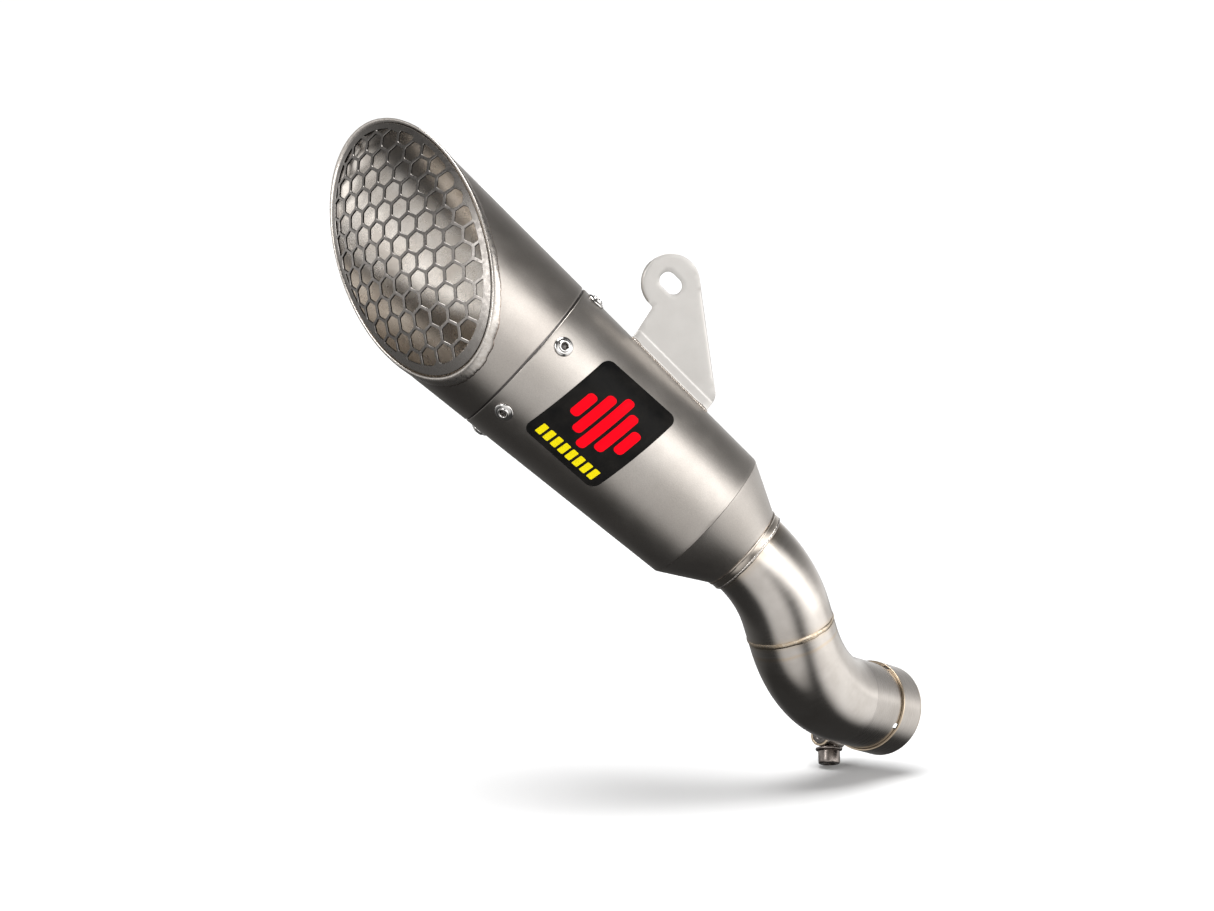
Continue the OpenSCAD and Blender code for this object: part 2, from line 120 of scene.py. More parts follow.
BADGE_LEN = 52
BADGE_Z = 82.6
BADGE_SHEAR = math.tan(math.radians(9))


def turn(angle, axis):
    return Matrix.Rotation(math.radians(angle), 4, axis)


def shift(x, y, z):
    return Matrix.Translation((x, y, z))


def bent(radius, angle):
    return shift(radius, 0, 0) @ turn(angle, "Y") @ shift(-radius, 0, 0)


# ---- the can's frame and the link pipe's route, in mm ----
CAN_TURN = turn(CAN_TILT - 90, "Y")
AT_BEND1 = shift(0, 0, -LINK_START) @ turn(180, "X") @ turn(-159.6, "Z")
AT_MID = AT_BEND1 @ bent(*BEND1)
AT_BEND2 = AT_MID @ shift(0, 0, MID_LEN) @ turn(115.5, "Z")
AT_SOCKET = AT_BEND2 @ bent(*BEND2)
MOUTH = CAN_TURN @ (AT_SOCKET @ Vector((0, 0, SOCKET_LEN)))
CAN = Matrix.Translation(-MOUTH) @ CAN_TURN
CUT = shift(0, 0, CUT_Z) @ turn(CUT_TURN, "Z") @ turn(CUT_TILT, "Y")
CUT_NORMAL = CUT.to_3x3() @ Vector((0, 0, 1))
SLEEVE_R = CAN_R + TAPER * BRACKET_Z
BRACKET = (
    CAN
    @ shift(SLEEVE_R, 0, BRACKET_Z)
    @ turn(2.97, "Y")
    @ Matrix(((0, 1, 0, 0), (0, 0, 1, 0), (1, 0, 0, 0), (0, 0, 0, 1)))
)
CLAMP = CAN @ AT_SOCKET @ shift(0, 0, CLAMP_START + CLAMP_W / 2) @ turn(CLAMP_TURN, "Z")
BAND_R = PIPE_R + 0.05
BAND_MID = BAND_R + CLAMP_T / 2
LOOP_MID = BARREL_R + CLAMP_T / 2
BARREL_X = BAND_R + 2 * CLAMP_T + BARREL_R - 0.6
LOOP_D = math.hypot(BARREL_X, BARREL_GAP)
BAND_OPEN = math.degrees(
    math.atan2(BARREL_GAP, BARREL_X) + math.acos((BAND_MID + LOOP_MID) / LOOP_D)
)
SEAT_Y = BARREL_GAP + BARREL_R + CLAMP_T
BOLT = CLAMP @ shift(BARREL_X, -SEAT_Y, 0) @ turn(90, "X")


# ---- mesh helpers ----


def add_piece(name, place, verts, faces, mats, **how):
    """A piece from points in mm in the frame place.

    how: flow, tint, ids, body, slot, instead and crease; slot is not used.
    """
    mesh = bpy.data.meshes.new(name)
    mesh.from_pydata([(place @ Vector(v)) * MM for v in verts], [], faces)
    ids = how.get("ids")
    if ids:
        mesh.polygons.foreach_set("material_index", ids)
    work = bmesh.new()
    work.from_mesh(mesh)
    bmesh.ops.recalc_face_normals(work, faces=work.faces)
    work.to_mesh(mesh)
    work.free()
    flow = how.get("flow")
    if flow is None:
        flow = [around(v) for v in verts]
    data = mesh.attributes.new("flow", "FLOAT_VECTOR", "POINT").data
    data.foreach_set("vector", np.array(flow, dtype=np.float32).ravel())
    tint = how.get("tint")
    if tint is not None:
        data = mesh.attributes.new("tint", "FLOAT", "POINT").data
        data.foreach_set("value", np.array(tint, dtype=np.float32))
    mesh.shade_smooth()
    mesh.set_sharp_from_angle(angle=math.radians(how.get("crease", 38)))
    piece = bpy.data.objects.new(name, mesh)
    bpy.context.scene.collection.objects.link(piece)
    for mat in mats if isinstance(mats, (list, tuple)) else [mats]:
        mesh.materials.append(mat)
    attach(piece, how.get("body", "root"))
    if how.get("instead"):
        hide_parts(*how["instead"])
    return piece


def around(v):
    """Where a point lies round and along the z axis of its frame."""
    turn_at = math.atan2(v[1], v[0])
    return (math.cos(turn_at), math.sin(turn_at), v[2] / 10)


def weave(rows, loop=True, ring=True, base=0):
    """Quads between rows of points. ring closes each row, loop joins the last row to the first."""
    n = len(rows[0])
    verts = [p for row in rows for p in row]
    faces = []
    for j in range(len(rows) if loop else len(rows) - 1):
        k = (j + 1) % len(rows)
        for i in range(n if ring else n - 1):
            m = (i + 1) % n
            faces.append((base + j * n + i, base + j * n + m, base + k * n + m, base + k * n + i))
    return verts, faces


def strip(faces, a, b):
    """Quads between two closed rings of point numbers."""
    for i in range(len(a)):
        j = (i + 1) % len(a)
        faces.append((a[i], a[j], b[j], b[i]))


def close_ends(verts, faces, n):
    """A face over the first n points and one over the last n."""
    faces.append(tuple(range(n)))
    faces.append(tuple(len(verts) - n + i for i in range(n)))


def join(*parts):
    """Several (verts, faces) in one."""
    verts, faces = [], []
    for v, f in parts:
        faces += [tuple(i + len(verts) for i in face) for face in f]
        verts += list(v)
    return verts, faces


def lathe(profile, n=96, loop=True):
    """A closed profile of (r, z) turned about z. r may be a function of the angle."""
    rows = []
    for r, z in profile:
        row = []
        for i in range(n):
            a = 2 * math.pi * i / n
            rr = r(a) if callable(r) else r
            zz = z(a) if callable(z) else z
            row.append((rr * math.cos(a), rr * math.sin(a), zz))
        rows.append(row)
    verts, faces = weave(rows, loop)
    if not loop:
        close_ends(verts, faces, n)
    return verts, faces


def steps(a, b, n):
    return [a + (b - a) * i / n for i in range(n + 1)]


def wobble(x, y=0.0, z=0.0):
    """Smooth repeatable noise between about -1 and 1."""
    return noise.noise(Vector((x, y, z)))


# ---- materials ----


def add_node(tree, kind, links=(), **props):
    """A node with its inputs linked, or set where the source is a value."""
    made = tree.nodes.new("ShaderNode" + kind)
    for key, value in props.items():
        setattr(made, key, value)
    for socket, source in dict(links).items():
        if isinstance(source, bpy.types.NodeSocket):
            tree.links.new(source, made.inputs[socket])
        else:
            made.inputs[socket].default_value = source
    return made


class Shader:
    """A node material, built up call by call."""

    def __init__(self, name, **sockets):
        self.mat = bpy.data.materials.new(name)
        self.mat.use_nodes = True
        self.tree = self.mat.node_tree
        self.tree.nodes.clear()
        out = self.tree.nodes.new("ShaderNodeOutputMaterial")
        self.bsdf = self.tree.nodes.new("ShaderNodeBsdfPrincipled")
        self.tree.links.new(self.bsdf.outputs[0], out.inputs[0])
        for key, value in sockets.items():
            self.bsdf.inputs[key.replace("_", " ")].default_value = value

    def node(self, kind, links=(), **props):
        return add_node(self.tree, kind, links, **props)

    def into(self, socket, source):
        self.tree.links.new(source, self.bsdf.inputs[socket])

    def objects(self):
        """The object's own coordinates, in mm."""
        at = self.node("TexCoord").outputs["Object"]
        return self.node("Mapping", {"Vector": at, "Scale": (1000, 1000, 1000)}).outputs[0]

    def flow(self):
        return self.node("Attribute", attribute_name="flow").outputs["Vector"]

    def local_flow(self, place, radius):
        """The flow of a CAD node round the z axis of the frame place."""
        back = place.inverted()
        at = self.node("TexCoord").outputs["Object"]
        how = {"Rotation": back.to_euler(), "Location": back.translation}
        local = self.node("Mapping", {"Vector": at, "Scale": (1000, 1000, 1000), **how})
        return self.scaled(local.outputs[0], (1 / radius, 1 / radius, 0.1))

    def scaled(self, source, scale):
        return self.node("Mapping", {"Vector": source, "Scale": scale}).outputs[0]

    def noise(self, source, scale, detail=2.0, rough=0.5):
        links = {"Vector": source, "Scale": scale, "Detail": detail, "Roughness": rough}
        return self.node("TexNoise", links).outputs[0]

    def ramp(self, source, low, high, a=0.0, b=1.0):
        """source from low..high to a..b."""
        links = {"Value": source, "From Min": low, "From Max": high, "To Min": a, "To Max": b}
        return self.node("MapRange", links).outputs[0]

    def math(self, op, a, b):
        return self.node("Math", {0: a, 1: b}, operation=op).outputs[0]

    def mix(self, fac, a, b, blend="MIX"):
        made = self.node("Mix", {0: fac, 6: a, 7: b}, data_type="RGBA", blend_type=blend)
        return made.outputs[2]

    def shaded(self, tone, grey):
        """tone multiplied by a grey."""
        by = self.node("CombineColor", {0: grey, 1: grey, 2: grey}).outputs[0]
        return self.mix(1.0, tone, by, "MULTIPLY")

    def bump(self, height, strength, distance, under=None):
        links = {"Height": height, "Strength": strength, "Distance": distance}
        if under is not None:
            links["Normal"] = under
        return self.node("Bump", links).outputs[0]


def rgb(r, g, b):
    return (r, g, b, 1.0)


def blasted(name, base, dark, rough, grain=0.012):
    """Bead-blasted titanium: a fine even grain, with soft smudges."""
    s = Shader(name, Metallic=1.0)
    at = s.objects()
    smudge = s.noise(at, 0.028, 3, 0.55)
    fine = s.noise(at, 1.9, 2, 0.6)
    tone = s.mix(s.ramp(smudge, 0.3, 0.7), base, dark)
    speck = s.ramp(fine, 0.3, 0.7, 0.90, 1.08)
    s.into("Base Color", s.shaded(tone, speck))
    mark = s.noise(at, 0.06, 4, 0.6)
    s.into("Roughness", s.ramp(mark, 0.3, 0.7, rough - 0.03, rough + 0.04))
    s.into("Normal", s.bump(fine, 0.5, grain * MM * 10))
    return s.mat


def brushed(name, base, dark, rough, heat=None, place=None, radius=PIPE_R, depth=0.01):
    """Titanium tube brushed round its axis, with heat tint where the tint attribute says."""
    s = Shader(name, Metallic=1.0, Anisotropic=0.35)
    flow = s.flow() if place is None else s.local_flow(place, radius)
    lines = s.noise(s.scaled(flow, (1.2, 1.2, 60)), 1.0, 3, 0.6)
    fine = s.noise(s.scaled(flow, (2.6, 2.6, 150)), 1.0, 2, 0.6)
    at = s.objects()
    cloud = s.noise(at, 0.045, 3, 0.6)
    tone = s.mix(s.ramp(cloud, 0.32, 0.68), base, dark)
    streak = s.ramp(lines, 0.3, 0.7, 0.93, 1.04)
    tone = s.shaded(tone, streak)
    if heat:
        tint = s.node("Attribute", attribute_name="tint").outputs["Fac"]
        tone = s.mix(tint, tone, heat)
    s.into("Base Color", tone)
    s.into("Roughness", s.ramp(lines, 0.25, 0.75, rough - 0.05, rough + 0.07))
    both = s.math("ADD", lines, s.math("MULTIPLY", fine, 0.6))
    s.into("Normal", s.bump(both, 0.18, depth * MM))
    return s.mat


def cast_bead(name, base, dark, rough):
    """Weld metal: bright, with a wavy surface and darker edges by the tint attribute."""
    s = Shader(name, Metallic=1.0)
    at = s.objects()
    wave = s.noise(at, 0.55, 3, 0.6)
    tint = s.node("Attribute", attribute_name="tint").outputs["Fac"]
    tone = s.mix(s.ramp(wave, 0.35, 0.7), base, dark)
    tone = s.mix(tint, tone, rgb(0.16, 0.11, 0.08))
    s.into("Base Color", tone)
    s.into("Roughness", s.ramp(wave, 0.3, 0.7, rough - 0.05, rough + 0.1))
    s.into("Normal", s.bump(wave, 0.4, 0.12 * MM))
    return s.mat


def machined(name, base, dark, rough, scale=0.5, depth=0.02):
    """Plated or polished steel with faint marks."""
    s = Shader(name, Metallic=1.0)
    at = s.objects()
    mark = s.noise(at, scale, 4, 0.6)
    tone = s.mix(s.ramp(mark, 0.35, 0.7), base, dark)
    s.into("Base Color", tone)
    s.into("Roughness", s.ramp(mark, 0.3, 0.7, rough * 0.8, rough * 1.3))
    s.into("Normal", s.bump(mark, 0.3, depth * MM))
    return s.mat


def sheet_metal(name, base, dark, rough):
    """Matte light sheet with a very fine pickled grain."""
    s = Shader(name, Metallic=0.85)
    at = s.objects()
    cloud = s.noise(at, 0.06, 3, 0.6)
    fine = s.noise(at, 2.4, 2, 0.6)
    tone = s.mix(s.ramp(cloud, 0.3, 0.7), base, dark)
    s.into("Base Color", tone)
    s.into("Roughness", s.ramp(fine, 0.3, 0.7, rough - 0.04, rough + 0.05))
    s.into("Normal", s.bump(fine, 0.25, 0.03 * MM))
    return s.mat


def label(name, base, dark, rough):
    """Printed film with almost no mirror gloss."""
    s = Shader(name, Metallic=0.0, Specular_IOR_Level=0.03)
    at = s.objects()
    cloud = s.noise(at, 0.09, 3, 0.6)
    fine = s.noise(at, 1.2, 2, 0.5)
    s.into("Base Color", s.mix(s.ramp(cloud, 0.3, 0.7), base, dark))
    s.into("Roughness", s.ramp(cloud, 0.3, 0.7, rough - 0.05, rough + 0.08))
    s.into("Normal", s.bump(fine, 0.12, 0.02 * MM))
    return s.mat


def wool():
    """Packed glass fibre."""
    s = Shader("glass_wool_look", Sheen_Weight=0.3)
    at = s.objects()
    strand = s.noise(s.scaled(at, (0.4, 2.2, 0.9)), 1.0, 5, 0.7)
    pale, deep = rgb(0.72, 0.66, 0.48), rgb(0.46, 0.41, 0.28)
    s.into("Base Color", s.mix(s.ramp(strand, 0.3, 0.7), pale, deep))
    s.into("Roughness", s.ramp(strand, 0.3, 0.7, 0.8, 1.0))
    s.into("Normal", s.bump(strand, 0.8, 0.8 * MM))
    return s.mat


SLEEVE_LOOK = blasted("sleeve_look", rgb(0.50, 0.465, 0.43), rgb(0.44, 0.405, 0.37), 0.36)
CAP_LOOK = blasted("cap_look", rgb(0.46, 0.425, 0.39), rgb(0.40, 0.365, 0.335), 0.34)
INNER_LOOK = machined("inner_look", rgb(0.84, 0.79, 0.73), rgb(0.68, 0.61, 0.54), 0.24, 0.05)
PIPE_LOOK = brushed(
    "pipe_look", rgb(0.60, 0.56, 0.52), rgb(0.50, 0.46, 0.42), 0.20, rgb(0.56, 0.45, 0.33)
)
SOCKET_LOOK = brushed(
    "socket_look", rgb(0.52, 0.485, 0.45), rgb(0.42, 0.385, 0.35), 0.26, None, CAN @ AT_SOCKET
)
CORE_LOOK = brushed("core_look", rgb(0.42, 0.40, 0.37), rgb(0.28, 0.26, 0.24), 0.35, None, CAN)
PLATE_LOOK = machined("plate_look", rgb(0.42, 0.39, 0.36), rgb(0.28, 0.25, 0.23), 0.35, 0.2)
MESH_LOOK = machined("mesh_look", rgb(0.30, 0.28, 0.262), rgb(0.22, 0.203, 0.188), 0.27, 0.35)
# Near-black grille hole walls: painted shade in the holes and in the gap round the mesh's border,
# not the mesh's own colour.
HOLE_LOOK = machined("hole_painted_shade", rgb(0.035, 0.031, 0.029), rgb(0.02, 0.018, 0.016), 0.45, 0.35)
BEAD_LOOK = cast_bead("bead_look", rgb(0.66, 0.62, 0.58), rgb(0.56, 0.51, 0.46), 0.26)
HEAT_LOOK = cast_bead("heat_look", rgb(0.60, 0.52, 0.42), rgb(0.50, 0.39, 0.27), 0.26)
STITCH_LOOK = cast_bead("stitch_look", rgb(0.50, 0.46, 0.42), rgb(0.34, 0.29, 0.25), 0.3)
RIVET_LOOK = machined("rivet_look", rgb(0.74, 0.72, 0.70), rgb(0.60, 0.58, 0.56), 0.12, 0.4)
# Dark steel for the rivet mandrels and clamp barrels, also used as painted shade in the cap's seam
# gap.
DARK_LOOK = machined("dark_look", rgb(0.16, 0.15, 0.145), rgb(0.10, 0.09, 0.085), 0.38, 0.6)
BOLT_LOOK = machined("bolt_look", rgb(0.27, 0.235, 0.215), rgb(0.20, 0.175, 0.16), 0.28, 0.6)
BAND_LOOK = brushed(
    "band_look", rgb(0.58, 0.54, 0.50), rgb(0.48, 0.44, 0.40), 0.27, rgb(0.62, 0.50, 0.36)
)
BRACKET_LOOK = sheet_metal("bracket_look", rgb(0.56, 0.54, 0.515), rgb(0.52, 0.50, 0.475), 0.42)
BLACK_LOOK = label("black_look", rgb(0.006, 0.006, 0.006), rgb(0.012, 0.011, 0.010), 0.22)
RED_LOOK = label("red_look", rgb(0.84, 0.001, 0.010), rgb(0.78, 0.001, 0.008), 0.34)
YELLOW_LOOK = label("yellow_look", rgb(0.72, 0.60, 0.004), rgb(0.68, 0.56, 0.003), 0.34)
WOOL_LOOK = wool()


# ---- can ----


def cone_point(offset, angle, z):
    r = CAN_R + TAPER * z + offset
    return (r * math.cos(angle), r * math.sin(angle), z)


def turns(n):
    return [2 * math.pi * i / n for i in range(n)]


def outer_sleeve():
    n = 288
    rows = []
    inlet = [(-1.2, 0.3), (-0.9, 0.02), (-0.3, 0.0), (-0.07, 0.12), (0.0, 0.45)]
    outlet = [(0.0, -0.5), (-0.05, -0.2), (-0.2, -0.04), (-0.45, 0.0), (-0.9, 0.0), (-1.2, -0.3)]

    def edge(a):
        return SLEEVE_LEN - 0.3 * (1 + math.cos(a))

    for d, z in inlet:
        rows.append([cone_point(d, a, z) for a in turns(n)])
    for t in steps(0.02, 0.98, 34):
        rows.append([cone_point(0, a, t * SLEEVE_LEN) for a in turns(n)])
    for d, z in outlet:
        rows.append([cone_point(d, a, edge(a) + z) for a in turns(n)])
    for t in steps(0.95, 0.05, 8):
        rows.append([cone_point(-WALL, a, t * SLEEVE_LEN) for a in turns(n)])
    verts, faces = weave(rows)
    add_piece(
        "sleeve", CAN, verts, faces, SLEEVE_LOOK, slot="titanium_sleeve", instead=["outer_sleeve"]
    )


def cut_height(angle, offset, back):
    """z on the can's surface grown by offset, back behind the slash cut."""
    across = CUT_NORMAL.x * math.cos(angle) + CUT_NORMAL.y * math.sin(angle)
    top = CUT_NORMAL.z * CUT_Z - back - across * (CAN_R + offset)
    return top / (CUT_NORMAL.z + across * TAPER)


def cut_point(angle, offset, back):
    return cone_point(offset, angle, cut_height(angle, offset, back))


def outlet_cap():
    n = 360
    spigot = SLEEVE_LEN - SPIGOT_LEN
    start = CAP_Z + 0.4
    rows = []

    def wall(d, t):
        """A row on the wall at offset d, t of the way from the seam to the lip."""
        ends = [(a, cut_height(a, d, LIP_DEPTH)) for a in turns(n)]
        return [cone_point(d, a, start + t * (end - CAP_Z - 0.4)) for a, end in ends]

    for d, z in [(-0.9, CAP_Z), (-0.35, CAP_Z), (-0.1, CAP_Z + 0.12), (0.0, CAP_Z + 0.4)]:
        rows.append([cone_point(d, a, z) for a in turns(n)])
    along = [0.01, 0.03] + steps(0.06, 0.94, 40) + [0.97, 1.0]
    rows += [wall(0, t) for t in along]
    outside = len(rows)
    rows += [wall(-WALL, t) for t in reversed(along)]
    for d, z in [(-2.4, CAP_Z), (-2.4, spigot), (-1.25, spigot), (-1.25, CAP_Z - 0.1)]:
        rows.append([cone_point(d, a, z) for a in turns(n)])
    verts, faces = weave(rows)
    # The last two strips are the spigot's outer face and the inner edge of the cap's end face,
    # seen in the seam gap. They take the dark steel look as painted shade in the gap on the cap's
    # own titanium.
    ids = [0] * (outside - 1) + [1] * (len(rows) - outside - 1) + [2, 2]
    ids = [look for look in ids for _ in range(n)]
    add_piece(
        "outlet_shell", CAN, verts, faces, [CAP_LOOK, INNER_LOOK, DARK_LOOK], ids=ids,
        slot="titanium_cap", instead=["outlet_cap"],
    )


def mouth_weld():
    """The rounded lip welded round the slash cut, with an uneven toe on the cap."""
    n = 720
    rows = []
    tint = []
    shape = [
        (-0.06, 4.1, 1.0), (0.10, 3.75, 0.9), (0.26, 3.3, 0.25), (0.38, 2.6, 0.0),
        (0.43, 1.8, 0.0), (0.38, 1.0, 0.0), (0.22, 0.4, 0.0), (-0.05, 0.08, 0.0),
        (-0.5, 0.0, 0.0), (-0.95, 0.15, 0.0), (-1.25, 0.6, 0.0), (-1.35, 1.6, 0.1),
        (-1.35, 3.4, 0.3),
    ]
    for d, back, shade in shape:
        row = []
        for a in turns(n):
            c, s = math.cos(a), math.sin(a)
            toe = wobble(9 * c, 9 * s) * 0.55 + wobble(31 * c, 31 * s, 5) * 0.3
            ripple = wobble(22 * c, 22 * s, 9) * 0.05
            near = max(0.0, min(1.0, (back - 1.5) / 2.2))
            lift = ripple if back < 3.5 else 0
            row.append(cut_point(a, min(d + lift, 0.45), back + toe * near * (d > -0.2)))
            tint.append(shade)
        rows.append(row)
    verts, faces = weave(rows)
    add_piece(
        "mouth_lip", CAN, verts, faces, BEAD_LOOK, tint=tint, slot="weld_bead",
        instead=["mouth_weld"], crease=60,
    )


# ---- the meshed outlet ----
_cut_r = CAN_R + TAPER * CUT_Z
_c, _s = math.cos(math.radians(CUT_TILT)), math.sin(math.radians(CUT_TILT))
_down, _up = _cut_r / (_c + TAPER * _s), _cut_r / (_c - TAPER * _s)
HALF_L = (_down + _up) / 2
HALF_W = HALF_L * math.sqrt(1 - (_s / math.cos(math.atan(TAPER))) ** 2)
CUT_MID = (_down - _up) / 2
DOME_R = (HALF_W**2 + MESH_RISE**2) / (2 * MESH_RISE)
DOME_LONG_R = (HALF_L**2 + MESH_RISE**2) / (2 * MESH_RISE)
SINK = 1.0
LATTICE = (-3.3, 1.3)
LATTICE_TURN = -0.5


def dome(x, y):
    """Height of the mesh's outer face over the slash cut."""
    rho = DOME_R - DOME_LONG_R + math.sqrt(DOME_LONG_R**2 - (x - CUT_MID) ** 2)
    return MESH_RISE - DOME_R + math.sqrt(max(rho * rho - y * y, 0)) - SINK


def bend_on(p):
    """A point of the flat sheet, bent on to the dome."""
    x = CUT_MID + DOME_LONG_R * math.sin((p.x - CUT_MID) / DOME_LONG_R)
    return Vector((x, DOME_R * math.sin(p.y / DOME_R)))


def dome_normal(x, y):
    e = 0.05
    dx = (dome(x + e, y) - dome(x - e, y)) / (2 * e)
    dy = (dome(x, y + e) - dome(x, y - e)) / (2 * e)
    return Vector((-dx, -dy, 1)).normalized()


def inside(x, y):
    """How far a point of the dome is outside the can's surface, negative inside."""
    p = CUT @ Vector((x, y, dome(x, y)))
    return math.hypot(p.x, p.y) - (CAN_R + TAPER * p.z)


def dome_outline(depth, n):
    """The outline on the dome at the given depth inside the can's surface."""
    out = []
    for a in turns(n):
        low, high = 20.0, 90.0
        for _ in range(40):
            s = (low + high) / 2
            x, y = CUT_MID + s * math.cos(a), s * math.sin(a)
            if abs(x - CUT_MID) < HALF_L + 2 and abs(y) < HALF_W + 8 and inside(x, y) < -depth:
                low = s
            else:
                high = s
        out.append(Vector((CUT_MID + low * math.cos(a), low * math.sin(a))))
    return out


def clip(poly, outline):
    """poly cut to the convex outline, both anticlockwise."""
    for i, a in enumerate(outline):
        b = outline[(i + 1) % len(outline)]
        side = [(b - a).cross(p - a) for p in poly]
        if min(side) >= 0:
            continue
        kept = []
        for j, p in enumerate(poly):
            q = poly[(j + 1) % len(poly)]
            s, t = side[j], side[(j + 1) % len(poly)]
            if s >= 0:
                kept.append(p)
            if (s >= 0) != (t >= 0):
                kept.append(p.lerp(q, s / (s - t)))
        poly = kept
        if len(poly) < 3:
            return []
    return poly


def area(poly):
    return sum(p.cross(poly[(i + 1) % len(poly)]) for i, p in enumerate(poly)) / 2


def softened(poly, radius):
    """poly with its sharper corners rounded."""
    poly = [p for i, p in enumerate(poly) if (p - poly[i - 1]).length > 0.05]
    out = []
    for i, p in enumerate(poly):
        a, b = poly[i - 1], poly[(i + 1) % len(poly)]
        u, v = (a - p), (b - p)
        if u.normalized().dot(v.normalized()) < -0.93:
            out.append(p)
            continue
        r = min(radius, u.length * 0.45, v.length * 0.45)
        start, end = p + u.normalized() * r, p + v.normalized() * r
        for t in (0, 0.33, 0.67, 1):
            out.append(start.lerp(p, t).lerp(p.lerp(end, t), t))
    return out


def grown(poly, d):
    """poly moved outwards by d."""
    out = []
    for i, p in enumerate(poly):
        a, b = poly[i - 1], poly[(i + 1) % len(poly)]
        u, v = (p - a).normalized(), (b - p).normalized()
        n = Vector((u.y + v.y, -u.x - v.x))
        out.append(p + n.normalized() * d / max(0.5, n.length / 2))
    return out


def mesh_grille():
    bevel = 0.2
    thick = WALL
    outline = dome_outline(1.95, 300)
    limit = dome_outline(WALL + MESH_BORDER, 300)
    holes = []
    reach = (MESH_PITCH - MESH_RIB) / math.sqrt(3)
    for i in range(-18, 19):
        for j in range(-9, 10):
            base = Vector(((i + j / 2) * MESH_PITCH, j * math.sqrt(3) / 2 * MESH_PITCH))
            base = Matrix.Rotation(math.radians(LATTICE_TURN), 2) @ base + Vector(LATTICE)
            hexagon = []
            for k in range(6):
                a = math.radians(30 + 60 * k + LATTICE_TURN)
                hexagon.append(base + reach * Vector((math.cos(a), math.sin(a))))
            cell = clip([bend_on(p) for p in hexagon], limit)
            if len(cell) >= 3 and area(cell) > 4:
                holes.append(softened(cell, 0.9))
    loops = [grown(outline, -bevel)] + [grown(h, bevel) for h in holes]
    flat, edges, owner = [], [], []
    for k, loop in enumerate(loops):
        start = len(flat)
        flat += loop
        owner += [k] * len(loop)
        edges += [(start + i, start + (i + 1) % len(loop)) for i in range(len(loop))]
    for t in (0.3, 0.65):
        for p, q in zip(outline[::2], limit[::2]):
            flat.append(p.lerp(q, t))
            owner.append(-1)
    coords, _, tris, sources, _, _ = geometry.delaunay_2d_cdt(flat, edges, [], 1, 1e-5)
    of_loop = [owner[s[0]] if s else -1 for s in sources]
    verts, faces = [], []
    top, low = {}, {}

    def put(x, y, depth):
        n = dome_normal(x, y)
        verts.append(Vector((x, y, dome(x, y))) - n * depth)
        return len(verts) - 1

    for i, c in enumerate(coords):
        top[i] = put(c.x, c.y, 0)
        low[i] = put(c.x, c.y, thick)
    for tri in tris:
        owners = {of_loop[i] for i in tri}
        if len(owners) == 1 and owners != {0} and owners != {-1}:
            continue
        faces.append(tuple(top[i] for i in tri))
        faces.append(tuple(low[i] for i in reversed(tri)))
    ids = [0] * len(faces)
    place = {}
    for i, s in enumerate(sources):
        for src in s:
            place[src] = i
    start = 0
    for k, loop in enumerate(loops):
        rim = outline if k == 0 else holes[k - 1]
        a = [put(p.x, p.y, bevel) for p in rim]
        b = [put(p.x, p.y, thick - bevel) for p in rim]
        m = len(loop)
        for i in range(m):
            j = (i + 1) % m
            up, uq = top[place[start + i]], top[place[start + j]]
            dp, dq = low[place[start + i]], low[place[start + j]]
            faces.append((up, uq, a[j], a[i]))
            faces.append((a[i], a[j], b[j], b[i]))
            faces.append((b[i], b[j], dq, dp))
            # The top bevel keeps the mesh look. The wall and lower bevel of each hole and of the
            # outer rim take the near-black look, as painted shade in the holes and the border gap.
            ids += [0, 1, 1]
        start += m
    add_piece(
        "grille", CAN @ CUT, verts, faces, [MESH_LOOK, HOLE_LOOK], ids=ids, slot="dark_mesh",
        instead=["mesh_grille"], crease=32,
    )


# ---- rivets ----


def on_skin(angle, z):
    return (
        CAN
        @ turn(angle, "Z")
        @ shift(CAN_R + TAPER * z, 0, z)
        @ turn(90 + 2.97, "Y")
    )


def rivets():
    head = [
        (2.0, -3.0), (3.1, -3.0), (3.1, 0.02), (5.1, 0.02), (5.45, 0.12), (5.5, 0.34),
        (5.38, 0.62), (5.0, 0.98), (4.4, 1.32), (3.8, 1.5), (3.42, 1.52), (3.28, 1.62),
        (3.22, 1.9), (3.12, 2.16), (2.9, 2.28), (2.6, 2.28), (2.3, 2.18), (2.1, 1.9), (2.0, 1.4),
    ]
    stem = [(0.0001, -2.5), (1.9, -2.5), (1.9, 0.3), (1.6, 0.8), (1.0, 1.1), (0.0001, 1.2)]
    stems = []
    for k in range(1, RIVETS + 1):
        place = on_skin(RIVET_TURN - 360 / RIVETS * k, RIVET_Z)
        verts, faces = lathe(head, 64)
        add_piece(
            f"rivet_head_{k}", place, verts, faces, RIVET_LOOK, slot="polished_rivet",
            instead=[f"rivet_{k}"], crease=50,
        )
        v, f = lathe(stem, 32)
        stems.append(([place @ Vector(p) for p in v], f))
    verts, faces = join(*stems)
    add_piece(
        "rivet_stems", Matrix.Identity(4), verts, faces, DARK_LOOK, slot="dark_steel",
        instead=["rivet_mandrels"],
    )


# ---- inlet cone, collar and welds ----


def inlet_cone():
    slope = (CAN_R - COLLAR_R) / CONE_LEN
    profile = [(CAN_R - 0.9, -0.02), (CAN_R - 0.3, -0.01), (CAN_R - 0.12, -0.12)]
    profile += [(CAN_R + slope * z, z) for z in steps(-0.5, -CONE_LEN + 1.2, 14)]
    profile += [(COLLAR_R + 0.35, -CONE_LEN + 0.3), (COLLAR_R + 0.1, -CONE_LEN)]
    profile += [(COLLAR_R - 1.0, -CONE_LEN)]
    profile += [(CAN_R + slope * z - WALL, z) for z in steps(-CONE_LEN + 0.6, -0.5, 6)]
    verts, faces = lathe(profile, 240)
    add_piece(
        "cone", CAN, verts, faces, SLEEVE_LOOK, slot="titanium_sleeve", instead=["inlet_cone"]
    )


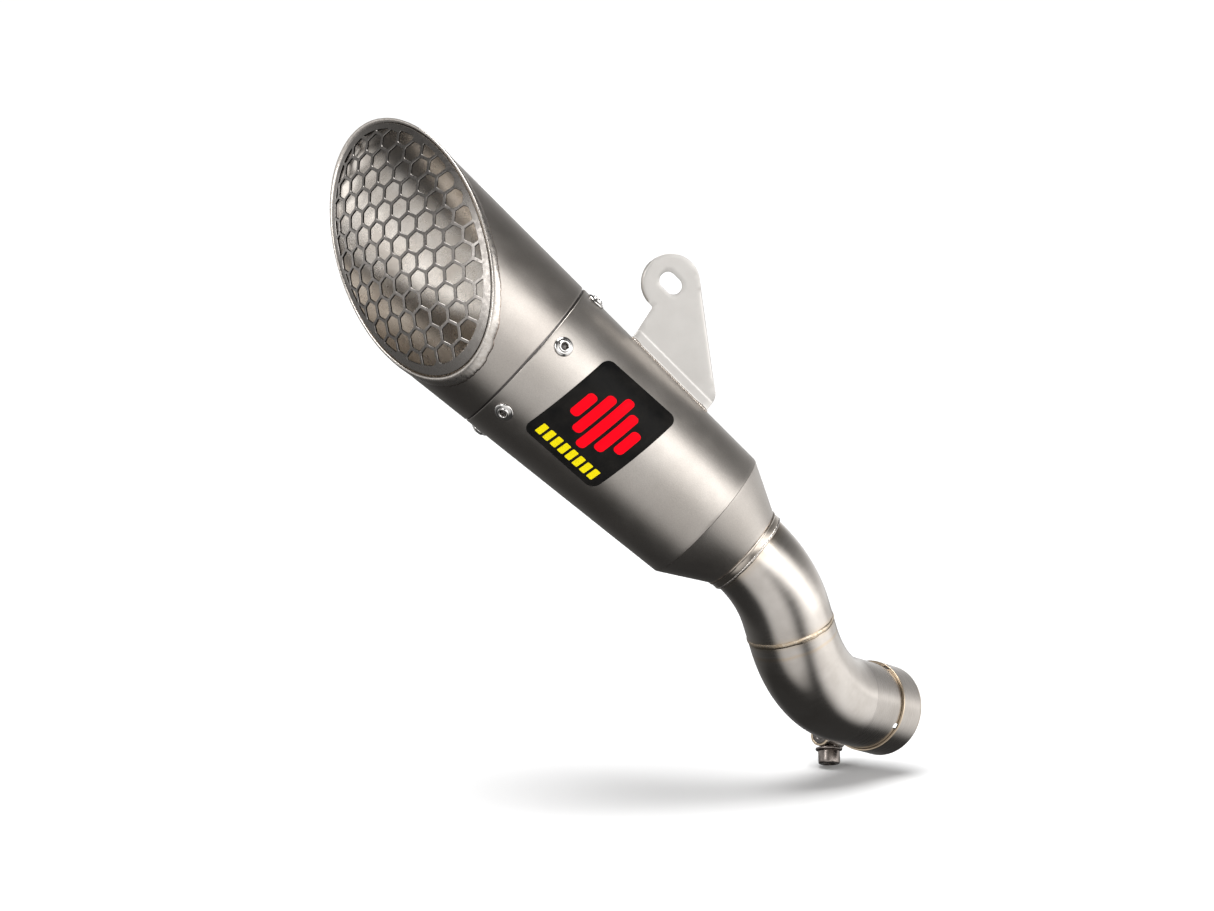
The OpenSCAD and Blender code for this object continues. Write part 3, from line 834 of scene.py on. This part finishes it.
def cone_collar():
    z0 = -CONE_LEN

    def lip(a):
        return COLLAR_R + 0.55 + 0.12 * wobble(6 * math.cos(a), 6 * math.sin(a), 2)

    profile = [
        (PIPE_R + 0.02, z0 - 0.2), (COLLAR_R, z0 - 0.02), (lip, z0 - 0.1), (lip, z0 - 0.7),
        (COLLAR_R + 0.1, z0 - 1.1), (COLLAR_R, z0 - 1.6), (COLLAR_R, z0 - 4.0),
        (COLLAR_R - 0.2, z0 - 4.4), (PIPE_R + 0.02, z0 - 4.5),
    ]
    verts, faces = lathe(profile, 240)
    add_piece(
        "collar", CAN, verts, faces, PIPE_LOOK, tint=[0.25] * len(verts),
        slot="titanium_pipe", instead=["cone_collar"],
    )


def ring_bead(name, place, half, height, node, look, seed):
    """A rippled weld bead round the tube at the origin of place."""
    n = 480
    shape = [(-1.0, -0.02, 0.5), (-0.8, 0.3, 0.3), (-0.45, 0.8, 0.0), (0.0, 1.0, 0.0),
             (0.45, 0.8, 0.0), (0.8, 0.3, 0.3), (1.0, -0.02, 0.5)]
    rows, tint = [], []
    for t, lift, shade in shape:
        row = []
        for a in turns(n):
            c, s = math.cos(a), math.sin(a)
            wave = 1 + 0.16 * wobble(7 * c, 7 * s, seed)
            drift = 0.22 * half * wobble(4 * c, 4 * s, seed + 7)
            scale = abs(math.sin(a * 38 + 2.4 * t)) ** 0.7
            r = PIPE_R + lift * height * (0.72 + 0.28 * scale) * wave
            z = t * half * wave + drift
            row.append((r * c, r * s, z))
            tint.append(shade)
        rows.append(row)
    for t in (0.9, -0.9):
        r = PIPE_R - 0.1
        rows.append([(r * math.cos(a), r * math.sin(a), t * half) for a in turns(n)])
        tint += [0.6] * n
    verts, faces = weave(rows)
    add_piece(
        name, place, verts, faces, look, tint=tint, slot="heat_tinted_weld", instead=[node],
        crease=70,
    )


# ---- link pipe ----


def tube(name, stations, node, heats=(), seam=-1.0):
    """A bent tube through stations of (frame, distance), marked by heat at the places in heats."""
    n = 224
    rows, flow, tint = [], [], []
    order = [(m, s, PIPE_R) for m, s in stations]
    order += [(m, s, BORE_R) for m, s in reversed(stations)]
    for m, s, r in order:
        row = []
        for i, a in enumerate(turns(n)):
            row.append(m @ Vector((r * math.cos(a), r * math.sin(a), 0)))
            flow.append((math.cos(a), math.sin(a), s / 10))
            mark = 0.0
            for at, width, amount in heats:
                wave = at + 0.5 * wobble(3 * math.cos(a), 3 * math.sin(a), at)
                mark = max(mark, amount * math.exp(-(((s - wave) / width) ** 2)))
            if abs(a - seam) < 0.03:
                mark = max(mark, 0.7)
            tint.append(min(mark, 1.0))
        rows.append(row)
    verts, faces = weave(rows)
    add_piece(
        name, CAN, verts, faces, PIPE_LOOK, flow=flow, tint=tint,
        slot="titanium_pipe", instead=[node],
    )


def link_pipe():
    arc1 = math.radians(BEND1[1]) * BEND1[0]
    arc2 = math.radians(BEND2[1]) * BEND2[0]
    upper = [(AT_BEND1 @ shift(0, 0, z), z) for z in steps(-8, -0.5, 8)]
    upper += [(AT_BEND1 @ bent(BEND1[0], BEND1[1] * t), arc1 * t) for t in steps(0, 1, 60)]
    upper += [(AT_MID @ shift(0, 0, z), arc1 + z) for z in steps(0.8, MID_LEN - MID_WELD, 12)]
    weld_at = arc1 + MID_LEN - MID_WELD
    tube("pipe_upper", upper, "link_pipe_upper", [(weld_at, 2.4, 0.75), (0.0, 4.0, 0.5)], 2.45)
    bend_at = weld_at + MID_WELD
    lower = [(AT_BEND2 @ shift(0, 0, z), bend_at + z) for z in steps(-MID_WELD, -0.4, 14)]
    for t in steps(0, 1, 96):
        lower.append((AT_BEND2 @ bent(BEND2[0], BEND2[1] * t), bend_at + arc2 * t))
    heats = [(weld_at, 2.4, 0.75), (weld_at + 8.0, 0.8, 0.55)]
    tube("pipe_lower", lower, "link_pipe_lower", heats)
    place = CAN @ AT_MID @ shift(0, 0, MID_LEN - MID_WELD)
    ring_bead("pipe_bead", place, 1.5, 0.42, "link_pipe_weld", HEAT_LOOK, 3)
    place = CAN @ AT_BEND1 @ shift(0, 0, 0.35)
    ring_bead("collar_bead", place, 1.15, 1.35, "collar_weld", BEAD_LOOK, 11)


# ---- clamp ----


def sweep(path, section):
    """A closed section of (out, across) swept along (point, outward normal) pairs."""
    rows = []
    for p, n in path:
        rows.append([(p.x + n.x * d, p.y + n.y * d, z) for d, z in section])
    verts, faces = weave(rows, loop=False)
    close_ends(verts, faces, len(section))
    return verts, faces


def band_section(half_w, half_t, r):
    out = []
    for cx, cy, a0 in ((1, 1, 0), (-1, 1, 90), (-1, -1, 180), (1, -1, 270)):
        for k in range(4):
            a = math.radians(a0 + 30 * k)
            out.append((cx * (half_t - r) + r * math.cos(a), cy * (half_w - r) + r * math.sin(a)))
        if cx == cy:
            continue
        for t in (0.86, 0.0, -0.86):
            out.append((cx * half_t, -cx * half_w * t))
    return out


def polar(r, degrees, centre=(0.0, 0.0)):
    a = math.radians(degrees)
    return Vector((centre[0] + r * math.cos(a), centre[1] + r * math.sin(a)))


def clamp_band():
    section = band_section(CLAMP_W / 2, CLAMP_T / 2 - 0.02, 0.3)
    half = []
    centre = (BARREL_X, BARREL_GAP)
    for t in steps(290, 0, 72):
        a = BAND_OPEN + 180 + t
        half.append((polar(LOOP_MID, a, centre), -polar(1, a)))
    low, high = half[-1][0], polar(BAND_MID, BAND_OPEN)
    for t in steps(0, 1, 6)[1:-1]:
        half.append((low.lerp(high, t), polar(1, BAND_OPEN)))
    path = list(half)
    for a in steps(BAND_OPEN, 360 - BAND_OPEN, 200):
        path.append((polar(BAND_MID, a), polar(1, a)))
    for p, n in reversed(half):
        path.append((Vector((p.x, -p.y)), Vector((n.x, -n.y))))
    verts, faces = sweep(path, section)
    flow = []
    run = 0.0
    last = None
    for p, _ in path:
        run += 0 if last is None else (p - last).length
        last = p
        for _, z in section:
            flow.append((run / 30, 0.0, z / 10))
    tint = [0.85 if abs(v[2]) > CLAMP_W / 2 - 0.32 else 0.0 for v in verts]
    add_piece(
        "band", CLAMP, verts, faces, BAND_LOOK, flow=flow, tint=tint, body="clamp",
        slot="clamp_band", instead=["clamp_band"], crease=50,
    )


def barrels():
    half = CLAMP_W / 2
    profile = [
        (0.0001, -half + 0.35), (2.6, -half + 0.35), (3.0, -half), (BARREL_R - 0.55, -half),
        (BARREL_R - 0.15, -half + 0.15), (BARREL_R, -half + 0.5), (BARREL_R, half - 0.5),
        (BARREL_R - 0.15, half - 0.15), (BARREL_R - 0.55, half), (3.0, half), (2.6, half - 0.35),
        (0.0001, half - 0.35),
    ]
    for name, side in (("clamp_plain_barrel", -1), ("clamp_nut_barrel", 1)):
        verts, faces = lathe(profile, 72, loop=False)
        add_piece(
            name.replace("clamp_", ""), CLAMP @ shift(BARREL_X, side * BARREL_GAP, 0),
            verts, faces, DARK_LOOK, body="clamp", slot="dark_steel", instead=[name], crease=40,
        )


def washer():
    profile = [
        (BOLT_R + 0.05, 0.25), (BOLT_R + 0.3, 0.0), (7.6, 0.0), (7.92, 0.2), (8.0, 0.6),
        (8.0, 1.1), (7.86, 1.42), (7.5, 1.58), (BOLT_R + 0.4, 1.6), (BOLT_R + 0.05, 1.3),
    ]
    verts, faces = lathe(profile, 96)
    add_piece(
        "washer", BOLT, verts, faces, BOLT_LOOK, body="washer", slot="bolt_steel",
        instead=["clamp_washer"], crease=45,
    )


def bolt():
    n = 96
    head_h = 8.0

    def hexagon(grow):
        def radius(a):
            return (3.0 + grow) / math.cos((a % (math.pi / 3)) - math.pi / 6)
        return radius

    head = [
        (BOLT_R - 0.02, -0.4), (BOLT_R + 0.3, 0.0), (5.9, 0.0), (6.25, 0.12), (6.45, 0.45),
        (6.5, 0.9), (6.5, 6.9), (6.4, 7.4), (6.15, 7.78), (5.7, 7.98), (5.2, head_h),
        (4.3, head_h), (lambda a: 3.95, head_h - 0.1), (hexagon(0.25), head_h - 0.45),
        (hexagon(0.0), head_h - 0.75), (hexagon(0.0), head_h - 4.0), (1.6, head_h - 4.7),
        (0.0001, head_h - 5.1), (0.0001, 0.5),
    ]
    shaft = [(0.0001, -0.3), (BOLT_R - 0.02, -0.3)]
    for z in steps(-0.6, -BOLT_LEN + 1.2, 150):
        shaft.append((thread(z), z))
    shaft += [(3.0, -BOLT_LEN + 0.2), (2.7, -BOLT_LEN), (0.0001, -BOLT_LEN)]
    verts, faces = join(lathe(head, n), lathe(shaft, 64))
    add_piece(
        "socket_bolt", BOLT @ shift(0, 0, 1.6), verts, faces, BOLT_LOOK, body="bolt",
        slot="bolt_steel", instead=["clamp_bolt"], crease=32,
    )


def thread(z):
    """Radius of the bolt's shaft: plain near the head, threaded below."""
    if z > -14:
        return lambda a: BOLT_R - 0.02

    def radius(a):
        phase = (z / 1.25 + a / (2 * math.pi)) % 1.0
        return BOLT_R - 0.02 - 0.55 * abs(2 * phase - 1)

    return radius


# ---- bracket ----


def arc_points(centre, r, a0, a1, n):
    return [polar(r, a, centre) for a in steps(a0, a1, n)]


def fillet(a, p, b, r, n=8):
    """Corner p between a and b rounded to radius r."""
    u, v = (a - p).normalized(), (b - p).normalized()
    half = math.acos(max(-1, min(1, u.dot(v)))) / 2
    start, end = p + u * (r / math.tan(half)), p + v * (r / math.tan(half))
    centre = p + (u + v).normalized() * (r / math.sin(half))
    out = []
    for t in steps(0, 1, n):
        w = (start - centre).lerp(end - centre, t)
        out.append(centre + w.normalized() * r)
    return out


def dense(points, gap):
    """points with extra ones so that no step is longer than gap."""
    out = []
    for i, p in enumerate(points):
        q = points[(i + 1) % len(points)]
        k = max(1, int(math.ceil((q - p).length / gap)))
        out += [p.lerp(q, t / k) for t in range(k)]
    return out


def fold(s, h):
    """The bracket's sheet below the bend leans out to the weld: place and normal of its middle."""
    bend_at, r = 6.4, 3.4
    lean = math.radians(33)
    if h >= bend_at:
        return Vector((s, h, 0)), Vector((0, 0, -1))
    d = bend_at - h
    arc = r * lean
    if d < arc:
        a = d / r
        at = Vector((s, bend_at - r * math.sin(a), -r * (1 - math.cos(a))))
        return at, Vector((0, math.sin(a), -math.cos(a)))
    rest = d - arc
    y = bend_at - r * math.sin(lean) - rest * math.cos(lean)
    z = -r * (1 - math.cos(lean)) - rest * math.sin(lean)
    return Vector((s, y, z)), Vector((0, math.sin(lean), -math.cos(lean)))


def bracket_outline():
    eye = Vector(EYE)
    along = Vector((36.6, 27.5)).normalized()
    top = eye + EYE_R * Vector((-along.y, along.x))
    left = -BRACKET_LEN / 2
    low = top - along * ((top.x - left) / along.x)
    foot = -1.6
    right = BRACKET_LEN / 2
    neck_at = eye + Vector((-2.3, -EYE_R))
    pts = [Vector((left, foot)), Vector((right, foot)), Vector((right + 0.4, 5.0))]
    neck_a = math.degrees(math.atan2(neck_at.y - eye.y, neck_at.x - eye.x))
    side = neck_at + (Vector((right + 0.4, 5.0)) - neck_at).normalized() * 2
    pts += fillet(side, neck_at, polar(EYE_R, neck_a + 8, EYE), 1.2, 5)
    end_a = math.degrees(math.atan2(along.x, -along.y))
    pts += arc_points(EYE, EYE_R, neck_a + 10, end_a, 80)
    pts += fillet(top, low, Vector((left, foot)), 9, 14)
    return dense(pts, 1.2), eye, along, top, low


def lip_amount(p, eye, along, top, low):
    """1 where the stiffening lip is, 0 elsewhere, for a point of the outline."""
    v = p - eye
    a = math.degrees(math.atan2(v.y, v.x))
    if abs(v.length - EYE_R) < 0.3 and -86 < a < 4:
        return max(0.0, min(1.0, (a + 86) / 4, (4 - a) / 4))
    d = (p - top).dot(-along)
    off = abs((p - top).cross(along))
    length = (top - low).length
    if off < 0.05 and 5 < d < length - 11:
        return max(0.0, min(1.0, (d - 5) / 2, (length - 11 - d) / 2))
    return 0.0


def mounting_bracket():
    outline, eye, along, top, low = bracket_outline()
    if area(outline) < 0:
        outline.reverse()
    lips = [lip_amount(p, eye, along, top, low) for p in outline]
    reach = (SLOT_LEN - SLOT_W) / 2
    slot = arc_points((EYE[0] + reach, EYE[1]), SLOT_W / 2, -90, 90, 24)
    slot += arc_points((EYE[0] - reach, EYE[1]), SLOT_W / 2, 90, 270, 24)
    half = BRACKET_T / 2
    verts, faces = [], []

    def put(p, depth):
        at, n = fold(p.x, p.y)
        verts.append(at + n * depth)
        return len(verts) - 1

    def inset(i, d):
        a, p, b = outline[i - 1], outline[i], outline[(i + 1) % len(outline)]
        u, v = (p - a).normalized(), (b - p).normalized()
        n = Vector((-(u.y + v.y), u.x + v.x))
        return p + n.normalized() * d

    count = len(outline)
    rings = []
    for d0, z0, d1, z1 in (
        (0.25, 0.0, 2.3, 0.0), (0.12, -0.06, 1.2, -0.16), (0.03, -0.18, 0.5, -0.5),
        (0.0, -0.35, 0.12, -1.1), (0.0, -1.0, 0.0, -2.0), (0.0, -1.65, 0.0, -5.1),
        (0.03, -1.82, 0.1, -5.4), (0.12, -1.94, 0.5, -5.5), (0.25, -2.0, 1.5, -5.5),
        (0.4, -2.0, 1.9, -5.3), (0.6, -2.0, 2.0, -2.6), (0.9, -2.0, 2.4, -2.0),
    ):
        ring = []
        for i in range(count):
            k = lips[i]
            ring.append((inset(i, d0 + (d1 - d0) * k), half + z0 + (z1 - z0) * k))
        rings.append(ring)
    made = []
    for ring in rings:
        made.append([put(p, depth) for p, depth in ring])
    for a, b in zip(made, made[1:]):
        strip(faces, a, b)
    hole = []
    edge = [(0.22, 1.0), (0.06, 0.92), (0.0, 0.75)]
    for grow, z in edge + [(grow, -z) for grow, z in reversed(edge)]:
        hole.append([put(p, z) for p in grown(slot, grow)])
    m = len(slot)
    for a, b in zip(hole, hole[1:]):
        strip(faces, a, b)
    for ids, holes, depth, points in (
        (made[0], hole[0], half, [p for p, _ in rings[0]]),
        (made[-1], hole[-1], -half, [p for p, _ in rings[-1]]),
    ):
        rim = grown(slot, 0.22)
        flat = list(points) + rim
        edges = [(i, (i + 1) % count) for i in range(count)]
        edges += [(count + i, count + (i + 1) % m) for i in range(m)]
        grid = []
        heights = [-1.2, 0, 1.2, 2.4, 3.4, 4.0, 4.6, 5.2, 5.8, 6.4, 7.0, 8.5] + steps(12, 50, 13)
        for s in steps(-28, 50, 26):
            for h in heights:
                p = Vector((s, h))
                if well_inside(p, points, 1.2) and not well_inside(p, rim, -1.2):
                    grid.append(p)
        coords, _, tris, sources, _, _ = geometry.delaunay_2d_cdt(flat + grid, edges, [], 1, 1e-5)
        index = {}
        for i, src in enumerate(sources):
            if src and min(src) < count:
                index[i] = ids[min(src)]
            elif src and min(src) < count + m:
                index[i] = holes[min(src) - count]
            else:
                index[i] = put(Vector(coords[i]), depth)
        for tri in tris:
            if all(sources[i] and count <= min(sources[i]) < count + m for i in tri):
                continue
            faces.append(tuple(index[i] for i in tri))
    add_piece(
        "bracket", BRACKET, verts, faces, BRACKET_LOOK, slot="bracket_titanium",
        instead=["mounting_bracket"], crease=40,
    )


def well_inside(p, poly, margin):
    """Whether p is inside poly by the margin. A negative margin allows it that far outside."""
    inner = False
    near = 1e9
    for i, a in enumerate(poly):
        b = poly[(i + 1) % len(poly)]
        if (a.y > p.y) != (b.y > p.y) and p.x < a.x + (p.y - a.y) * (b.x - a.x) / (b.y - a.y):
            inner = not inner
        d = b - a
        t = max(0.0, min(1.0, (p - a).dot(d) / max(d.dot(d), 1e-9)))
        near = min(near, (a + d * t - p).length)
    return inner and near > margin if margin >= 0 else inner or near < -margin


def bracket_weld():
    """A stitched bead along the foot, with a larger blob at each end."""
    around_bead = 12
    rows, tint = [], []
    for i, s in enumerate(steps(-BRACKET_LEN / 2 - 0.6, BRACKET_LEN / 2 + 0.6, 460)):
        stitch = abs(math.sin(math.pi * s / 1.35)) ** 0.6
        end = min(abs(s + BRACKET_LEN / 2 - 3.2), abs(s - BRACKET_LEN / 2 + 3.2))
        blob = math.exp(-((end / 3.4) ** 2))
        size = 0.75 + 0.35 * stitch + 0.95 * blob * (0.8 + 0.3 * wobble(s * 0.9))
        size *= 1 + 0.12 * wobble(s * 0.5, 4)
        if i in (0, 460):
            size = 0.05
        row = []
        for a in turns(around_bead):
            y = -0.45 + size * 0.8 * math.sin(a)
            z = -4.9 - 0.35 * size + size * 1.05 * math.cos(a)
            row.append((s, y, z))
            tint.append(0.75 * (1 - stitch) * (1 - blob))
        rows.append(row)
    verts, faces = weave(rows, loop=False)
    close_ends(verts, faces, around_bead)
    add_piece(
        "bracket_bead", BRACKET, verts, faces, STITCH_LOOK, tint=tint, slot="weld_bead",
        instead=["bracket_weld"], crease=70,
    )


# ---- badge ----


def rounded_box(x0, y0, x1, y1, r, n=8):
    pts = [Vector((x0, y0)), Vector((x1, y0)), Vector((x1, y1)), Vector((x0, y1))]
    out = []
    for i, p in enumerate(pts):
        out += fillet(pts[i - 1], p, pts[(i + 1) % 4], r, n)
    return out


def decal(name, outlines, low, high, look, slot, instead):
    """Thin film on the sleeve: outlines are (along, across) on the badge's plane."""
    verts, faces = [], []

    def put(p, lift):
        z = BADGE_Z + p.x - BADGE_SHEAR * p.y
        r = CAN_R + TAPER * z + lift
        verts.append((p.y, -math.sqrt(r * r - p.y * p.y), z))
        return len(verts) - 1

    for outline in outlines:
        outline = dense(outline, 1.5)
        edge = min(0.12, high - low)
        rings = [
            [put(p, high) for p in grown(outline, -edge)],
            [put(p, high - 0.3 * edge) for p in grown(outline, -0.3 * edge)],
            [put(p, high - edge) for p in outline],
            [put(p, low) for p in outline],
        ]
        n = len(outline)
        for a, b in zip(rings, rings[1:]):
            strip(faces, a, b)
        top, base = (rings[0], high, grown(outline, -edge)), (rings[-1], low, outline)
        for ids, lift, points in (top, base):
            xs, ys = [p.x for p in points], [p.y for p in points]
            grid = []
            for x in steps(min(xs), max(xs), max(1, int((max(xs) - min(xs)) / 3))):
                for y in steps(min(ys), max(ys), max(1, int((max(ys) - min(ys)) / 1.6))):
                    if well_inside(Vector((x, y)), points, 0.5):
                        grid.append(Vector((x, y)))
            edges = [(i, (i + 1) % n) for i in range(n)]
            coords, _, tris, sources, _, _ = geometry.delaunay_2d_cdt(
                list(points) + grid, edges, [], 1, 1e-5
            )
            index = {}
            for i, src in enumerate(sources):
                index[i] = ids[min(src)] if src and min(src) < n else put(Vector(coords[i]), lift)
            faces += [tuple(index[i] for i in tri) for tri in tris]
    add_piece(name, CAN, verts, faces, look, slot=slot, instead=instead, crease=40)


def badge():
    film = 0.35
    half_l, half_w = BADGE_LEN / 2, BADGE_W / 2
    box = rounded_box(-half_l, -half_w, half_l, half_w, 5)
    decal("badge_film", [box], 0.0, film, BLACK_LOOK, "badge_black", ["badge"])
    bars = []
    for i, height in enumerate([16, 28, 38, 28, 16]):
        bars.append(rounded_box(-20 + 8 * i, 2 - height / 2, -14 + 8 * i, 2 + height / 2, 2.4))
    decal("badge_bars", bars, film - 0.05, film + 0.15, RED_LOOK, "badge_red", ["badge_marks"])
    dashes = [rounded_box(-21 + 5.4 * i, -26.4, -17.2 + 5.4 * i, -19.8, 0.6, 4) for i in range(8)]
    decal("badge_dashes", dashes, film - 0.05, film + 0.12, YELLOW_LOOK, None, [])


# ---- build ----


def dress_cad_nodes():
    looks = {
        "inlet_socket": SOCKET_LOOK,
        "core_tube": CORE_LOOK,
        "packing": WOOL_LOOK,
        "inlet_plate": PLATE_LOOK,
        "outlet_plate": PLATE_LOOK,
    }
    for name, look in looks.items():
        node = frame["nodes"][name]
        node.data.materials.clear()
        node.data.materials.append(look)


def studio():
    low = CAD_BOX[0][2]
    mesh = bpy.data.meshes.new("floor")
    size = 30.0
    corners = [(x * size, y * size, low) for x, y in ((-1, -1), (1, -1), (1, 1), (-1, 1))]
    mesh.from_pydata(corners, [], [(0, 1, 2, 3)])
    floor = bpy.data.objects.new("floor", mesh)
    bpy.context.scene.collection.objects.link(floor)
    s = Shader("floor_look", Roughness=0.9, Specular_IOR_Level=0.2)
    grain = s.noise(s.node("TexCoord").outputs["Object"], 9.0, 3, 0.5)
    s.into("Base Color", s.mix(grain, rgb(0.93, 0.93, 0.93), rgb(0.91, 0.91, 0.91)))
    mesh.materials.append(s.mat)
    floor.visible_glossy = False


def softbox(name, at, to, size, power, tone=(1, 1, 1)):
    light = bpy.data.lights.new(name, "AREA")
    light.shape = "RECTANGLE"
    light.size, light.size_y = size
    light.energy = power
    light.color = tone
    lamp = bpy.data.objects.new(name, light)
    lamp.matrix_world = look_at(Vector(at), Vector(to))
    bpy.context.scene.collection.objects.link(lamp)


def look_at(eye, target):
    ahead = (target - eye).normalized()
    return Matrix.Translation(eye) @ ahead.to_track_quat("-Z", "Y").to_matrix().to_4x4()


# brightness of the surroundings at each height of the direction looked in
SKY = [(-0.66, 0.05), (-0.30, 0.22), (-0.09, 0.34), (-0.02, 1.06), (0.06, 1.06), (0.20, 0.70),
       (0.34, 0.40), (0.56, 0.14), (1.0, 0.06)]
GLOW_RIGHT = 1.35
GLOW_SIDE = 1.1
GLOW_LOW = 0.8


def sky():
    """Soft studio surroundings: white at the horizon, darker above and below, three glows."""
    world = bpy.data.worlds.new("studio")
    bpy.context.scene.world = world
    world.use_nodes = True
    tree = world.node_tree
    tree.nodes.clear()

    def node(kind, links=(), **props):
        return add_node(tree, kind, links, **props)

    def between(value, low, high):
        made = node("MapRange", {"Value": value, "From Min": low, "From Max": high})
        made.interpolation_type = "SMOOTHSTEP"
        return made.outputs[0]

    def times(a, b):
        return node("Math", {0: a, 1: b}, operation="MULTIPLY").outputs[0]

    def plus(a, b):
        return node("Math", {0: a, 1: b}, operation="ADD").outputs[0]

    def glow(towards, low, high):
        dot = node("VectorMath", {0: at, 1: towards}, operation="DOT_PRODUCT")
        return between(dot.outputs["Value"], low, high)

    at = node("TexCoord").outputs["Generated"]
    z = node("SeparateXYZ", {0: at}).outputs["Z"]
    level = node("MapRange", {"Value": z, "From Min": -1.0}).outputs[0]
    ramp = node("ValToRGB", {0: level})
    spots = ramp.color_ramp.elements
    while len(spots) < len(SKY):
        spots.new(0.5)
    for spot, (height, _) in zip(spots, SKY):
        spot.position = (height + 1) / 2
    for spot, (_, grey) in zip(spots, SKY):
        spot.color = rgb(grey, grey, grey)
    right = glow((0.63, -0.776, 0.0), 0.60, 0.90)
    right = times(right, times(between(z, -0.30, 0.14), between(z, 0.68, 0.34)))
    side = glow((0.93, -0.20, -0.30), 0.72, 0.97)
    low = glow((-0.24, -0.84, -0.48), 0.76, 0.97)
    glows = plus(times(right, GLOW_RIGHT), plus(times(side, GLOW_SIDE), times(low, GLOW_LOW)))
    total = plus(ramp.outputs[0], glows)
    back = node("Background", {0: total, 1: 1.0})
    out = node("OutputWorld")
    tree.links.new(back.outputs[0], out.inputs[0])


def lights():
    sky()
    mid = (-0.1, -0.05, 0.12)
    sun = bpy.data.lights.new("overhead", "SUN")
    sun.energy = 3.4
    sun.angle = math.radians(44)
    lamp = bpy.data.objects.new("overhead", sun)
    lamp.matrix_world = look_at(Vector((-0.3, -0.1, 1.9)), Vector((-0.12, 0.0, 0.0)))
    bpy.context.scene.collection.objects.link(lamp)
    softbox("front_left", (-1.7, -1.3, 1.0), mid, (0.5, 1.1), 9)
    softbox("front_right", (1.15, -1.55, 1.15), mid, (1.0, 1.0), 7)


def camera():
    cam = bpy.data.objects.new("camera", bpy.data.cameras.new("camera"))
    cam.data.lens = 86.46
    cam.data.sensor_width = 36
    cam.data.sensor_fit = "HORIZONTAL"
    eye = Vector((-0.2824045, -1.6886073, 0.3311959))
    ahead = Vector((0.069025, 0.992124, -0.104528))
    cam.matrix_world = look_at(eye, eye + ahead)
    bpy.context.scene.collection.objects.link(cam)
    bpy.context.scene.camera = cam


camera()
studio()
lights()
outer_sleeve()
outlet_cap()
mouth_weld()
mesh_grille()
rivets()
inlet_cone()
cone_collar()
link_pipe()
clamp_band()
barrels()
washer()
bolt()
mounting_bracket()
bracket_weld()
badge()
dress_cad_nodes()
bpy.context.scene.view_settings.view_transform = "Standard"
